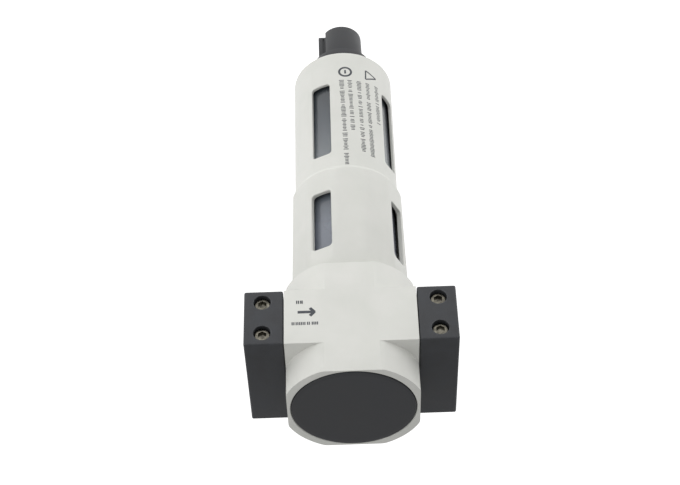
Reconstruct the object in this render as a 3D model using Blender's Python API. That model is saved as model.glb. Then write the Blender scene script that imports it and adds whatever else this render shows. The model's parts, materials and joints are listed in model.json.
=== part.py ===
"""Compressed air filter for a 40 mm modular service unit.

The port axis runs along X and crosses the vertical bowl axis at the origin.  +Z is up: the cap is on
top and the bowl hangs below.  -Y is the front, where the plate screws are driven.  Air enters at the
+X plate, spins through the swirl ring into the bowl, passes inward through the sintered element and
leaves through the -X plate.  Lengths below are in millimetres.
"""

import math

import bmesh
import bpy
from mathutils import Matrix, Vector

MM = 0.001
FIT = 0.3                     # gap left between neighbouring pieces
FACE_GAP = 0.2                # gap at the plates' visible joint

# Housing
MODULE = 40.0                 # width along the pipe run, the unit's module
DEPTH = 39.2
BLOCK_HEIGHT = 20.0
TOP_NECK_RADIUS = 21.6
BOTTOM_NECK_RADIUS = 21.3
TOP_NECK_TOP = 20.5
BOTTOM_NECK_END = -20.2
BLOCK_EDGE = 0.5
NECK_EDGE = 0.9
CAP_RADIUS = 18.8
CAP_PROUD = 0.2
CAP_THICKNESS = 2.8
DECK_TOP = 11.0
DECK_UNDERSIDE = 6.5
CAP_WELL_RADIUS = 16.5
GUARD_THREAD_BORE = 17.9
BORE_SHOULDER = -10.0
CHAMBER_RADIUS = 14.5
BOSS_RADIUS = 8.5
BOSS_STEP_RADIUS = 9.3
BOSS_STEP = -13.0
BOSS_END = -19.4
BOSS_BORE = 6.6
PASSAGE_RADIUS = 5.2
DUCT_RADIUS = 6.9

# Connecting plates and their fixings
PLATE_THICKNESS = 12.0
PLATE_EDGE = 0.4
PORT_THREAD_RADIUS = 5.9      # G 1/4, drawn plain near its minor diameter
PORT_MOUTH_RADIUS = 6.8
PORT_MOUTH_DEPTH = 1.0
RING_GROOVE = (6.9, 8.9)
RING_GROOVE_DEPTH = 1.7
PORT_RING_SECTION = 0.65
PORT_RING_MIDDLE = 0.95       # from the housing's side face
SCREW_X = 26.5
SCREW_Z = 5.7
SCREW_HEAD_RADIUS = 2.3
SCREW_HEAD_HEIGHT = 1.5
SOCKET_DEPTH = 0.9
SCREW_SHANK_RADIUS = 1.5
SCREW_LENGTH = 7.0
SCREW_SEAT_DEPTH = 3.0
SOCKET_ACROSS_FLATS = 2.5
LUG_LENGTH = 8.9
LUG_HALF_HEIGHT = 2.5
LUG_FRONT = -15.0
LUG_BACK = -9.5

# Element stack
STUD_RADIUS = 2.0
STUD_TOP = 9.2
STUD_END = -68.0
ELEMENT_RADIUS = 10.5
ELEMENT_BORE = 7.0
ELEMENT_LENGTH = 38.5
GASKET_RADII = (7.2, 10.2)
GASKET_THICKNESS = 1.2
SWIRL_RADIUS = 13.6
SWIRL_SLOTS = 12
SWIRL_SLOT_BLOCK = (2.6, 1.7, 14.0)
SWIRL_SLANT = 38.0            # of the slots from the axis, degrees
BAFFLE_RADIUS = 12.8
BAFFLE_PLATE = 1.6
BAFFLE_SKIRT = 6.0
BAFFLE_NOTCHES = 6
BAFFLE_NOTCH_BLOCK = (3.0, 3.2, 5.0)
BAFFLE_SKIRT_WALL = 1.2
NUT_ACROSS_FLATS = 7.0
NUT_HEIGHT = 3.2

# Bowl, guard and drain
GUARD_APOTHEM = 17.87
GUARD_DRAFT = 0.43            # the grip's flats lean out by this much at its top
COLLAR_BORE = 16.3
COLLAR_BORE_END = (-24.0, -22.5)   # the grip's bore narrows to the collar's between these heights
GRIP_BORE = 16.8
GUARD_FACETS = 12
GUARD_COLLAR_RADIUS = 17.6
GUARD_COLLAR_TOP = -14.5
GUARD_GRIP_END = -61.0
GUARD_TAPER_END = -63.5
GUARD_RADIUS = 17.0
GUARD_WALL = 0.95
GUARD_BORE_STEP = (-62.0, -59.0)   # the cup's bore widens to the grip's between these heights
GUARD_SHOULDER = -117.0       # where the round cup turns in to its shallow cone
GUARD_SHOULDER_ROUND = 1.2
GUARD_END = -121.6
GUARD_END_RADIUS = 11.0
GUARD_END_HOLE = 6.8
GUARD_END_WALL = 1.8
WINDOW_WIDTH = 7.0
WINDOW_CORNER = 1.2
WINDOW_CUTTER = (12.0, 22.0)  # from and to this distance off the axis
SHORT_WINDOW = (-52.5, -29.3)
LONG_WINDOW = (-102.0, -69.5)
WINDOW_ANGLE = 27.0           # first window, from the front towards +X, degrees
BOWL_FLANGE_RADIUS = 17.3
BOWL_TOP = -12.2
BOWL_FLANGE = 2.0
BOWL_BOTTOM = -118.4
BOWL_FLOOR = 2.4
BOWL_OUTER = (15.9, 15.3, 8.5)         # radii under the flange, above the dome, at the bottom
BOWL_INNER = (14.4, 14.1, 13.5, 8.8)   # radii at the mouth, past the lead-in, above the dome, at the floor
BOWL_LEAD_IN = -16.0
BOWL_DOME = (-107.0, -106.0)           # heights where the outer and inner walls round in
BOWL_RING = (16.1, 0.8)                # middle radius and section radius of each ring
DRAIN_BODY_RING = (5.9, 0.5)
DRAIN_STEM_RING = (3.2, 0.55)
DRAIN_SPIGOT_RADIUS = 4.8
DRAIN_TOP = -112.2
DRAIN_SHOULDER = -120.0
DRAIN_SHOULDER_RADIUS = 6.5
DRAIN_FLANGE_RADIUS = 10.5
DRAIN_FLANGE_TOP = GUARD_END - FIT
DRAIN_FLANGE_END = -126.0
DRAIN_NECK_RADIUS = 4.0
DRAIN_NECK_END = -131.0
DRAIN_BORE = 2.5
DRAIN_NUT_ACROSS_FLATS = 13.0
DRAIN_NUT_HEIGHT = 3.0
STEM_RADIUS = 1.9
STEM_END = -136.0
STEM_HEAD_RADIUS = 4.2
STEM_HEAD = (-110.5, -108.9)
KNOB_TOP = DRAIN_FLANGE_END - FIT
KNOB_END = -141.0
KNOB_RADIUS = (7.5, 7.15)     # at its top and at its end
KNOB_FLAT = 5.6               # the side that carries the tab is cut flat here
KNOB_TAB_REACH = 8.15
KNOB_TAB_WIDTH = 4.0
KNOB_WEB = 1.0

ROUND = 64                    # facets round the visible rims
GUARD_ROUND = 48              # four on each of the grip's twelve facets
FINE = 40
HIDDEN = 32
SMALL = 20
O_RING_SIDES = 6

COLOURS = {
    "white_paint": ((0.70, 0.70, 0.66), 0.45, 0.0),
    "black_plate": ((0.055, 0.056, 0.062), 0.55, 0.0),
    "black_plastic": ((0.045, 0.047, 0.052), 0.5, 0.0),
    "smoky_clear": ((0.18, 0.20, 0.23), 0.12, 0.0),
    "steel": ((0.62, 0.61, 0.58), 0.3, 1.0),
    "rubber": ((0.02, 0.02, 0.02), 0.7, 0.0),
    "sintered": ((0.72, 0.68, 0.58), 0.85, 0.0),
    "brass": ((0.72, 0.55, 0.28), 0.35, 1.0),
    "off_white_plastic": ((0.72, 0.71, 0.67), 0.5, 0.0),
}


def clear_scene():
    for item in list(bpy.data.objects):
        bpy.data.objects.remove(item, do_unlink=True)


def make_material(name):
    colour, roughness, metallic = COLOURS[name]
    material = bpy.data.materials.new(name)
    material.use_nodes = True
    shader = material.node_tree.nodes["Principled BSDF"]
    shader.inputs["Base Color"].default_value = (*colour, 1.0)
    shader.inputs["Roughness"].default_value = roughness
    shader.inputs["Metallic"].default_value = metallic
    return material


def place_on_scene(name, mesh, material=None):
    """Links a mesh as an object; a piece without a material is a cutter."""
    item = bpy.data.objects.new(name, mesh)
    bpy.context.scene.collection.objects.link(item)
    if material is None:
        item.hide_render = True
        item.display_type = "WIRE"
    else:
        mesh.materials.append(MATERIALS[material])
        mesh.shade_smooth()
        mesh.set_sharp_from_angle(angle=math.radians(32))
    return item


def finish_mesh(name, bm):
    bmesh.ops.remove_doubles(bm, verts=bm.verts, dist=1e-7)
    bmesh.ops.recalc_face_normals(bm, faces=bm.faces)
    bmesh.ops.scale(bm, vec=(MM, MM, MM), verts=bm.verts)
    mesh = bpy.data.meshes.new(name)
    bm.to_mesh(mesh)
    bm.free()
    return mesh


def spun(profile, segments, closed, start_angle=0.0):
    """A bmesh turned about Z from (radius, z) points; an open profile starts and ends on the axis."""
    bm = bmesh.new()
    turn = Matrix.Rotation(math.radians(start_angle), 3, "Z")
    verts = [bm.verts.new(turn @ Vector((radius, 0.0, z))) for radius, z in profile]
    pairs = list(zip(verts, verts[1:]))
    if closed:
        pairs.append((verts[-1], verts[0]))
    edges = [bm.edges.new(pair) for pair in pairs]
    bmesh.ops.spin(bm, geom=verts + edges, cent=(0, 0, 0), axis=(0, 0, 1), dvec=(0, 0, 0),
                   angle=math.tau, steps=segments, use_merge=True, use_duplicate=False)
    bmesh.ops.remove_doubles(bm, verts=bm.verts, dist=1e-4)
    return bm


def turned(name, profile, material=None, segments=FINE, closed=True):
    return place_on_scene(name, finish_mesh(name, spun(profile, segments, closed)), material)


def ring_profile(inner, outer, low, high):
    return [(outer, high), (outer, low), (inner, low), (inner, high)]


def disc_profile(radius, low, high):
    return [(0.0, high), (radius, high), (radius, low), (0.0, low)]


def quarter_round(start, end, steps):
    """Points of a quarter ellipse from start to end, both (radius, z), leaving start downwards."""
    (r0, z0), (r1, z1) = start, end
    points = []
    for step in range(steps + 1):
        angle = 0.5 * math.pi * step / steps
        along, across = math.sin(angle), 1.0 - math.cos(angle)
        points.append((r0 + (r1 - r0) * across, z0 + (z1 - z0) * along))
    return points


def o_ring_profile(middle_radius, section_radius, height=0.0):
    profile = []
    for side in range(O_RING_SIDES):
        angle = math.tau * side / O_RING_SIDES
        profile.append((middle_radius + section_radius * math.cos(angle),
                        height + section_radius * math.sin(angle)))
    return profile


def o_ring(name, middle_radius, section_radius, height):
    return turned(name, o_ring_profile(middle_radius, section_radius, height), "rubber", HIDDEN)


def prism(name, outline, low, high, material=None, edge=0.0, frame=Matrix.Identity(4)):
    """Extrudes an (x, y) outline along Z, then moves it by a frame; edge bevels every sharp edge."""
    bm = bmesh.new()
    verts = [bm.verts.new((x, y, low)) for x, y in outline]
    face = bm.faces.new(verts)
    result = bmesh.ops.extrude_face_region(bm, geom=[face])
    moved = [part for part in result["geom"] if isinstance(part, bmesh.types.BMVert)]
    bmesh.ops.translate(bm, verts=moved, vec=(0, 0, high - low))
    bmesh.ops.recalc_face_normals(bm, faces=bm.faces)
    if edge:
        sharp = [side for side in bm.edges if side.calc_face_angle() > math.radians(15)]
        bmesh.ops.bevel(bm, geom=sharp, offset=edge, segments=2, profile=0.5, affect="EDGES")
    bmesh.ops.transform(bm, matrix=frame, verts=bm.verts)
    return place_on_scene(name, finish_mesh(name, bm), material)


def rectangle(x0, x1, y0, y1):
    return [(x0, y0), (x1, y0), (x1, y1), (x0, y1)]


def box(name, low, high, material=None, edge=0.0):
    outline = rectangle(low[0], high[0], low[1], high[1])
    return prism(name, outline, low[2], high[2], material, edge)


def along_x(name, profile, x_from=0.0, segments=HIDDEN, closed=True, material=None):
    """A turned piece whose axis is X: its z becomes x."""
    bm = spun(profile, segments, closed)
    bmesh.ops.rotate(bm, verts=bm.verts, cent=(0, 0, 0), matrix=Matrix.Rotation(math.pi / 2, 3, "Y"))
    bmesh.ops.translate(bm, verts=bm.verts, vec=(x_from, 0, 0))
    return place_on_scene(name, finish_mesh(name, bm), material)


def hexagon(across_flats):
    radius = across_flats / math.sqrt(3.0)
    return [(radius * math.cos(math.radians(60 * k)), radius * math.sin(math.radians(60 * k)))
            for k in range(6)]


def combine(target, tool, operation="DIFFERENCE"):
    modifier = target.modifiers.new(tool.name, "BOOLEAN")
    modifier.object = tool
    modifier.operation = operation
    modifier.solver = "EXACT"


# Housing -------------------------------------------------------------------------------------------

def neck_outline(radius):
    """A circle cut by the block's four sides, so that its flats lie in the block's faces."""
    half_x, half_y = MODULE / 2, DEPTH / 2
    front = math.degrees(math.asin(half_y / radius))
    side = math.degrees(math.acos(half_x / radius))
    steps = 8
    outline = []
    for quarter in range(4):
        low, high = (side, front) if quarter % 2 == 0 else (90 - front, 90 - side)
        for step in range(steps + 1):
            angle = math.radians(90 * quarter + low + (high - low) * step / steps)
            outline.append((radius * math.cos(angle), radius * math.sin(angle)))
    return outline


def neck(name, radius, low, high):
    """A neck prism whose upright corners, where the flats meet the round, are softened."""
    bm = bmesh.new()
    face = bm.faces.new([bm.verts.new((x, y, low)) for x, y in neck_outline(radius)])
    result = bmesh.ops.extrude_face_region(bm, geom=[face])
    moved = [part for part in result["geom"] if isinstance(part, bmesh.types.BMVert)]
    bmesh.ops.translate(bm, verts=moved, vec=(0, 0, high - low))
    bmesh.ops.recalc_face_normals(bm, faces=bm.faces)
    corners = [edge for edge in bm.edges
               if 0.2 < edge.calc_face_angle() < 1.2 and abs(edge.verts[0].co.z - edge.verts[1].co.z) > 1]
    bmesh.ops.bevel(bm, geom=corners, offset=NECK_EDGE, segments=3, profile=0.5, affect="EDGES")
    rims = [edge for edge in bm.edges if edge.calc_face_angle() > 1.2]
    bmesh.ops.bevel(bm, geom=rims, offset=BLOCK_EDGE * 0.6, segments=1, affect="EDGES")
    return place_on_scene(name, finish_mesh(name, bm))


def housing_lugs():
    """Four lugs that enter the plates' pockets and take the plate screws."""
    lugs = []
    for side in (1, -1):
        for level in (1, -1):
            ends = sorted((side * (MODULE / 2 - 1.0), side * (MODULE / 2 + LUG_LENGTH)))
            middle = level * SCREW_Z
            lugs.append(box(f"lug_{side}_{level}",
                            (ends[0], LUG_FRONT, middle - LUG_HALF_HEIGHT),
                            (ends[1], LUG_BACK, middle + LUG_HALF_HEIGHT)))
    return lugs


def front_hole(name, profile, x, z):
    """A cutter turned about a line along Y; the profile's heights run towards the front."""
    bm = spun(profile, SMALL, False)
    bmesh.ops.rotate(bm, verts=bm.verts, cent=(0, 0, 0), matrix=Matrix.Rotation(math.pi / 2, 3, "X"))
    bmesh.ops.translate(bm, verts=bm.verts, vec=(x, 0, z))
    return place_on_scene(name, finish_mesh(name, bm))


def build_housing():
    block = box("housing", (-MODULE / 2, -DEPTH / 2, -BLOCK_HEIGHT / 2),
                (MODULE / 2, DEPTH / 2, BLOCK_HEIGHT / 2), "white_paint", BLOCK_EDGE)
    combine(block, neck("top_neck", TOP_NECK_RADIUS, 0.0, TOP_NECK_TOP), "UNION")
    combine(block, neck("bottom_neck", BOTTOM_NECK_RADIUS, BOTTOM_NECK_END, 0.0), "UNION")
    for lug in housing_lugs():
        combine(block, lug, "UNION")

    recess_floor = TOP_NECK_TOP + CAP_PROUD - CAP_THICKNESS - FIT
    combine(block, turned("cap_recess", [
        (0.0, TOP_NECK_TOP + 1), (CAP_RADIUS + FACE_GAP, TOP_NECK_TOP + 1),
        (CAP_RADIUS + FACE_GAP, recess_floor), (CAP_WELL_RADIUS, recess_floor),
        (CAP_WELL_RADIUS, DECK_TOP), (0.0, DECK_TOP)], segments=ROUND, closed=False))

    cavity = turned("lower_cavity", [
        (0.0, BOSS_END), (BOSS_RADIUS, BOSS_END), (BOSS_RADIUS, BOSS_STEP), (BOSS_STEP_RADIUS, BOSS_STEP),
        (BOSS_STEP_RADIUS, DECK_UNDERSIDE), (CHAMBER_RADIUS, DECK_UNDERSIDE),
        (CHAMBER_RADIUS, BORE_SHOULDER), (GUARD_THREAD_BORE, BORE_SHOULDER),
        (GUARD_THREAD_BORE, BOTTOM_NECK_END - 1), (0.0, BOTTOM_NECK_END - 1)], closed=False)
    combine(cavity, along_x("outlet_duct", disc_profile(DUCT_RADIUS, -CHAMBER_RADIUS - 1, -BOSS_BORE),
                            closed=False))
    combine(block, cavity)

    combine(block, turned("boss_bore", [
        (0.0, STUD_TOP + FIT), (STUD_RADIUS + FIT, STUD_TOP + FIT), (STUD_RADIUS + FIT, DECK_UNDERSIDE),
        (BOSS_BORE, DECK_UNDERSIDE), (BOSS_BORE, BOSS_END - 1), (0.0, BOSS_END - 1)],
        segments=HIDDEN, closed=False))
    combine(block, along_x("outlet_passage", disc_profile(PASSAGE_RADIUS, -MODULE, 0.0), closed=False))
    combine(block, along_x("inlet_passage",
                           disc_profile(PASSAGE_RADIUS, BOSS_STEP_RADIUS + 1.5, MODULE), closed=False))
    for side in (1, -1):
        for level in (1, -1):
            hole = disc_profile(SCREW_SHANK_RADIUS + FIT, -LUG_BACK - 1, -LUG_FRONT + 1)
            combine(block, front_hole(f"lug_hole_{side}_{level}", hole, side * SCREW_X, level * SCREW_Z))


def build_cap():
    top = TOP_NECK_TOP + CAP_PROUD
    profile = [(0.0, top), (CAP_RADIUS - 0.3, top), (CAP_RADIUS, top - 0.3),
               (CAP_RADIUS, top - CAP_THICKNESS), (0.0, top - CAP_THICKNESS)]
    turned("cap_disc", profile, "black_plastic", ROUND, False)


# Connecting plates ---------------------------------------------------------------------------------

def build_plate(name, side):
    inner = MODULE / 2 + FACE_GAP
    outer = MODULE / 2 + PLATE_THICKNESS
    ends = sorted((side * inner, side * outer))
    plate = box(name, (ends[0], -DEPTH / 2, -BLOCK_HEIGHT / 2),
                (ends[1], DEPTH / 2, BLOCK_HEIGHT / 2), "black_plate", PLATE_EDGE)

    bore = [(0.0, outer + 1), (PORT_MOUTH_RADIUS, outer + 1), (PORT_MOUTH_RADIUS, outer - 0.2),
            (PORT_THREAD_RADIUS, outer - PORT_MOUTH_DEPTH), (PORT_THREAD_RADIUS, inner - 1),
            (0.0, inner - 1)]
    groove = ring_profile(*RING_GROOVE, inner - 1, inner + RING_GROOVE_DEPTH)
    for tool_name, profile, closed in (("port", bore, False), ("ring_groove", groove, True)):
        mirrored = [(radius, side * x) for radius, x in profile]
        combine(plate, along_x(f"{name}_{tool_name}", mirrored, closed=closed))

    for level in (1, -1):
        middle = level * SCREW_Z
        pocket = sorted((side * (inner - 1), side * (MODULE / 2 + LUG_LENGTH + FIT)))
        combine(plate, box(f"{name}_pocket_{level}",
                           (pocket[0], LUG_FRONT - FIT, middle - LUG_HALF_HEIGHT - FIT),
                           (pocket[1], LUG_BACK + FIT, middle + LUG_HALF_HEIGHT + FIT)))
        head, shank = SCREW_HEAD_RADIUS + FIT, SCREW_SHANK_RADIUS + FIT
        seat = DEPTH / 2 - SCREW_SEAT_DEPTH
        hole = [(0.0, DEPTH / 2 + 1), (head, DEPTH / 2 + 1), (head, seat), (shank, seat),
                (shank, -LUG_FRONT - 0.5), (0.0, -LUG_FRONT - 0.5)]
        combine(plate, front_hole(f"{name}_screw_hole_{level}", hole, side * SCREW_X, middle))

    along_x(f"{name.replace('plate', 'port')}_ring", o_ring_profile(sum(RING_GROOVE) / 2, PORT_RING_SECTION),
            side * (MODULE / 2 + PORT_RING_MIDDLE), HIDDEN, material="rubber")


def build_plate_screws():
    """Four cap screws driven from the front; they share one mesh and cross the housing's lugs."""
    head = [(0.0, SCREW_HEAD_HEIGHT), (SCREW_HEAD_RADIUS - 0.2, SCREW_HEAD_HEIGHT),
            (SCREW_HEAD_RADIUS, SCREW_HEAD_HEIGHT - 0.2), (SCREW_HEAD_RADIUS, 0.0),
            (SCREW_SHANK_RADIUS, 0.0), (SCREW_SHANK_RADIUS, 0.4 - SCREW_LENGTH),
            (SCREW_SHANK_RADIUS - 0.4, -SCREW_LENGTH), (0.0, -SCREW_LENGTH)]
    bm = spun(head, SMALL, False)
    pattern = place_on_scene("screw_pattern", finish_mesh("screw_pattern", bm))
    socket = prism("screw_socket", hexagon(SOCKET_ACROSS_FLATS), SCREW_HEAD_HEIGHT - SOCKET_DEPTH,
                   SCREW_HEAD_HEIGHT + 1)
    combine(pattern, socket)
    evaluated = pattern.evaluated_get(bpy.context.evaluated_depsgraph_get())
    mesh = bpy.data.meshes.new_from_object(evaluated)
    mesh.name = "plate_screw"
    mesh.transform(Matrix.Rotation(math.pi / 2, 4, "X"))
    mesh.materials.clear()
    mesh.materials.append(MATERIALS["steel"])
    mesh.shade_smooth()
    mesh.set_sharp_from_angle(angle=math.radians(32))
    seat = -DEPTH / 2 + SCREW_SEAT_DEPTH - FIT
    for side, plate in ((1, "inlet"), (-1, "outlet")):
        for level, place in ((1, "upper"), (-1, "lower")):
            screw = bpy.data.objects.new(f"{plate}_screw_{place}", mesh)
            screw.location = Vector((side * SCREW_X, seat, level * SCREW_Z)) * MM
            bpy.context.scene.collection.objects.link(screw)


# Element stack -------------------------------------------------------------------------------------

def build_swirl_ring():
    """The ring that sets the air spinning: slanted slots cut through a collar round the boss."""
    top = BOSS_STEP - FIT
    low = BOSS_END + FIT
    ring = turned("swirl_ring", ring_profile(BOSS_RADIUS + FIT, SWIRL_RADIUS, low, top),
                  "off_white_plastic", segments=FINE)
    slots = bmesh.new()
    for slot in range(SWIRL_SLOTS):
        middle = (BOSS_RADIUS + FIT + SWIRL_RADIUS) / 2
        place = (Matrix.Rotation(math.tau * slot / SWIRL_SLOTS, 4, "Z")
                 @ Matrix.Translation((middle, 0, (top + low) / 2))
                 @ Matrix.Rotation(math.radians(SWIRL_SLANT), 4, "X")
                 @ Matrix.Diagonal((*SWIRL_SLOT_BLOCK, 1.0)))
        bmesh.ops.create_cube(slots, size=1.0, matrix=place)
    combine(ring, place_on_scene("swirl_slots", finish_mesh("swirl_slots", slots)))


def build_element_stack():
    gasket_top = BOSS_END - FIT
    turned("element_upper_gasket", ring_profile(*GASKET_RADII, gasket_top - GASKET_THICKNESS, gasket_top),
           "rubber", HIDDEN)
    element_top = gasket_top - GASKET_THICKNESS - FIT
    element_end = element_top - ELEMENT_LENGTH
    turned("filter_element", ring_profile(ELEMENT_BORE, ELEMENT_RADIUS, element_end, element_top),
           "sintered")
    lower_top = element_end - FIT
    turned("element_lower_gasket", ring_profile(*GASKET_RADII, lower_top - GASKET_THICKNESS, lower_top),
           "rubber", HIDDEN)
    baffle_top = lower_top - GASKET_THICKNESS - FIT
    build_baffle(baffle_top)
    nut_top = baffle_top - BAFFLE_PLATE - FIT
    nut = prism("baffle_nut", hexagon(NUT_ACROSS_FLATS), nut_top - NUT_HEIGHT, nut_top, "brass")
    combine(nut, turned("baffle_nut_hole", disc_profile(STUD_RADIUS + FIT, nut_top - 9, nut_top + 1),
                        segments=SMALL, closed=False))
    turned("element_stud", [
        (0.0, STUD_TOP), (STUD_RADIUS - 0.3, STUD_TOP), (STUD_RADIUS, STUD_TOP - 0.3),
        (STUD_RADIUS, STUD_END + 0.3), (STUD_RADIUS - 0.3, STUD_END), (0.0, STUD_END)],
        "steel", SMALL, False)


def build_baffle(top):
    """A plate that clamps the element, with a notched skirt that shields the still water below."""
    under = top - BAFFLE_PLATE
    baffle = turned("baffle", [
        (BAFFLE_RADIUS - 0.8, top), (BAFFLE_RADIUS, top - 0.8), (BAFFLE_RADIUS, top - BAFFLE_SKIRT),
        (BAFFLE_RADIUS - BAFFLE_SKIRT_WALL, top - BAFFLE_SKIRT), (BAFFLE_RADIUS - BAFFLE_SKIRT_WALL, under),
        (STUD_RADIUS + FIT, under), (STUD_RADIUS + FIT, top)], "black_plastic")
    notches = bmesh.new()
    for notch in range(BAFFLE_NOTCHES):
        place = (Matrix.Rotation(math.tau * notch / BAFFLE_NOTCHES, 4, "Z")
                 @ Matrix.Translation((BAFFLE_RADIUS - BAFFLE_SKIRT_WALL / 2, 0, top - BAFFLE_SKIRT))
                 @ Matrix.Diagonal((*BAFFLE_NOTCH_BLOCK, 1.0)))
        bmesh.ops.create_cube(notches, size=1.0, matrix=place)
    combine(baffle, place_on_scene("baffle_notches", finish_mesh("baffle_notches", notches)))


# Bowl and guard ------------------------------------------------------------------------------------

def build_bowl():
    under_flange = BOWL_TOP - BOWL_FLANGE
    floor = BOWL_BOTTOM + BOWL_FLOOR
    shoulder, wall, bottom = BOWL_OUTER
    mouth, lead_in, inner_wall, inner_bottom = BOWL_INNER
    outer_round = quarter_round((wall, BOWL_DOME[0]), (bottom, BOWL_BOTTOM), 4)
    inner_round = quarter_round((inner_wall, BOWL_DOME[1]), (inner_bottom, floor), 4)
    hole = DRAIN_SPIGOT_RADIUS + FIT
    profile = [(BOWL_FLANGE_RADIUS, BOWL_TOP), (BOWL_FLANGE_RADIUS, under_flange),
               (shoulder, under_flange)]
    profile += outer_round + [(hole, BOWL_BOTTOM), (hole, floor)]
    profile += inner_round[::-1] + [(lead_in, BOWL_LEAD_IN), (mouth, BOWL_TOP)]
    turned("bowl", profile, "smoky_clear")
    o_ring("bowl_ring", *BOWL_RING, (BOWL_TOP + BORE_SHOULDER) / 2)


def facet_radius(angle, apothem, facet_middle):
    pitch = math.tau / GUARD_FACETS
    away = (angle - facet_middle + pitch / 2) % pitch - pitch / 2
    return apothem / math.cos(away)


def guard_angle(from_front):
    """Angle about Z of a direction measured from the front (-Y) towards +X, degrees."""
    return from_front - 90.0


def build_guard():
    """The metal guard: a thread collar, a twelve-sided grip and a round cup with a coned end."""
    cup_bore = GUARD_RADIUS - GUARD_WALL
    shoulder, inside = GUARD_SHOULDER, GUARD_SHOULDER + GUARD_END_WALL + 0.6
    rounding = GUARD_SHOULDER_ROUND
    profile = [(GUARD_COLLAR_RADIUS, GUARD_COLLAR_TOP),
               (GUARD_COLLAR_RADIUS, BOTTOM_NECK_END - FIT),
               (GUARD_APOTHEM, BOTTOM_NECK_END - FIT), (GUARD_APOTHEM, GUARD_GRIP_END),
               (GUARD_RADIUS, GUARD_TAPER_END)]
    profile += quarter_round((GUARD_RADIUS, shoulder + rounding), (GUARD_RADIUS - rounding, shoulder), 3)
    profile += [(GUARD_END_RADIUS, GUARD_END), (GUARD_END_HOLE, GUARD_END),
                (GUARD_END_HOLE, GUARD_END + GUARD_END_WALL),
                (GUARD_END_RADIUS - 1.0, GUARD_END + GUARD_END_WALL)]
    profile += quarter_round((cup_bore, inside + rounding), (cup_bore - rounding, inside), 2)[::-1]
    profile += [(cup_bore, GUARD_BORE_STEP[0]), (GRIP_BORE, GUARD_BORE_STEP[1]),
                (GRIP_BORE, COLLAR_BORE_END[0]), (COLLAR_BORE, COLLAR_BORE_END[1]),
                (COLLAR_BORE, GUARD_COLLAR_TOP)]
    first_facet = guard_angle(WINDOW_ANGLE)
    bm = spun(profile, GUARD_ROUND, True, first_facet - 15.0)
    for vert in bm.verts:
        radius = math.hypot(vert.co.x, vert.co.y)
        if abs(radius - GUARD_APOTHEM) < 0.01:
            angle = math.atan2(vert.co.y, vert.co.x)
            apothem = GUARD_APOTHEM + (GUARD_DRAFT if vert.co.z > GUARD_GRIP_END + 1 else 0.0)
            wanted = facet_radius(angle, apothem, math.radians(first_facet))
            vert.co.x *= wanted / radius
            vert.co.y *= wanted / radius
    guard = place_on_scene("bowl_guard", finish_mesh("bowl_guard", bm), "white_paint")
    for quarter in range(4):
        for label, (low, high) in (("short", SHORT_WINDOW), ("long", LONG_WINDOW)):
            combine(guard, window(f"{label}_window_{quarter}", low, high, first_facet + 90 * quarter))


def rounded_rectangle(half_width, low, high, corner, steps=3):
    outline = []
    middles = ((half_width - corner, high - corner, 0), (-half_width + corner, high - corner, 90),
               (-half_width + corner, low + corner, 180), (half_width - corner, low + corner, 270))
    for x, y, start in middles:
        for step in range(steps + 1):
            angle = math.radians(start + 90 * step / steps)
            outline.append((x + corner * math.cos(angle), y + corner * math.sin(angle)))
    return outline


def window(name, low, high, angle):
    """A cutter that runs outwards through the guard's wall at one angle about Z."""
    outline = rounded_rectangle(WINDOW_WIDTH / 2, low, high, WINDOW_CORNER)
    outwards = (Matrix.Rotation(math.radians(angle), 4, "Z")
                @ Matrix(((0, 0, 1, 0), (1, 0, 0, 0), (0, 1, 0, 0), (0, 0, 0, 1))))
    return prism(name, outline, *WINDOW_CUTTER, frame=outwards)


# Drain ---------------------------------------------------------------------------------------------

def build_drain():
    """Body, nut and stem of the drain: the body clamps the bowl's floor and keeps the guard on it."""
    turned("drain_body", [
        (DRAIN_SPIGOT_RADIUS, DRAIN_TOP), (DRAIN_SPIGOT_RADIUS, DRAIN_SHOULDER),
        (DRAIN_SHOULDER_RADIUS, DRAIN_SHOULDER), (DRAIN_SHOULDER_RADIUS, DRAIN_FLANGE_TOP),
        (DRAIN_FLANGE_RADIUS, DRAIN_FLANGE_TOP), (DRAIN_FLANGE_RADIUS, DRAIN_FLANGE_END + 0.5),
        (DRAIN_FLANGE_RADIUS - 0.5, DRAIN_FLANGE_END), (DRAIN_NECK_RADIUS, DRAIN_FLANGE_END),
        (DRAIN_NECK_RADIUS, DRAIN_NECK_END), (DRAIN_BORE, DRAIN_NECK_END), (DRAIN_BORE, DRAIN_TOP)],
        "black_plastic")
    o_ring("drain_body_ring", *DRAIN_BODY_RING, (BOWL_BOTTOM + DRAIN_SHOULDER) / 2)
    nut_low = BOWL_BOTTOM + BOWL_FLOOR + FIT
    nut = prism("drain_nut", hexagon(DRAIN_NUT_ACROSS_FLATS), nut_low, nut_low + DRAIN_NUT_HEIGHT,
                "black_plastic")
    hole = disc_profile(DRAIN_SPIGOT_RADIUS + FIT, nut_low - 1, nut_low + DRAIN_NUT_HEIGHT + 1)
    combine(nut, turned("drain_nut_hole", hole, segments=HIDDEN, closed=False))
    seat, head_top = STEM_HEAD
    turned("drain_stem", [
        (0.0, head_top), (STEM_HEAD_RADIUS - 0.2, head_top), (STEM_HEAD_RADIUS, head_top - 0.2),
        (STEM_HEAD_RADIUS, seat), (STEM_RADIUS, seat), (STEM_RADIUS, STEM_END), (0.0, STEM_END)],
        "brass", SMALL, False)
    o_ring("drain_stem_ring", *DRAIN_STEM_RING, (DRAIN_TOP + seat) / 2)
    build_drain_knob()


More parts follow.
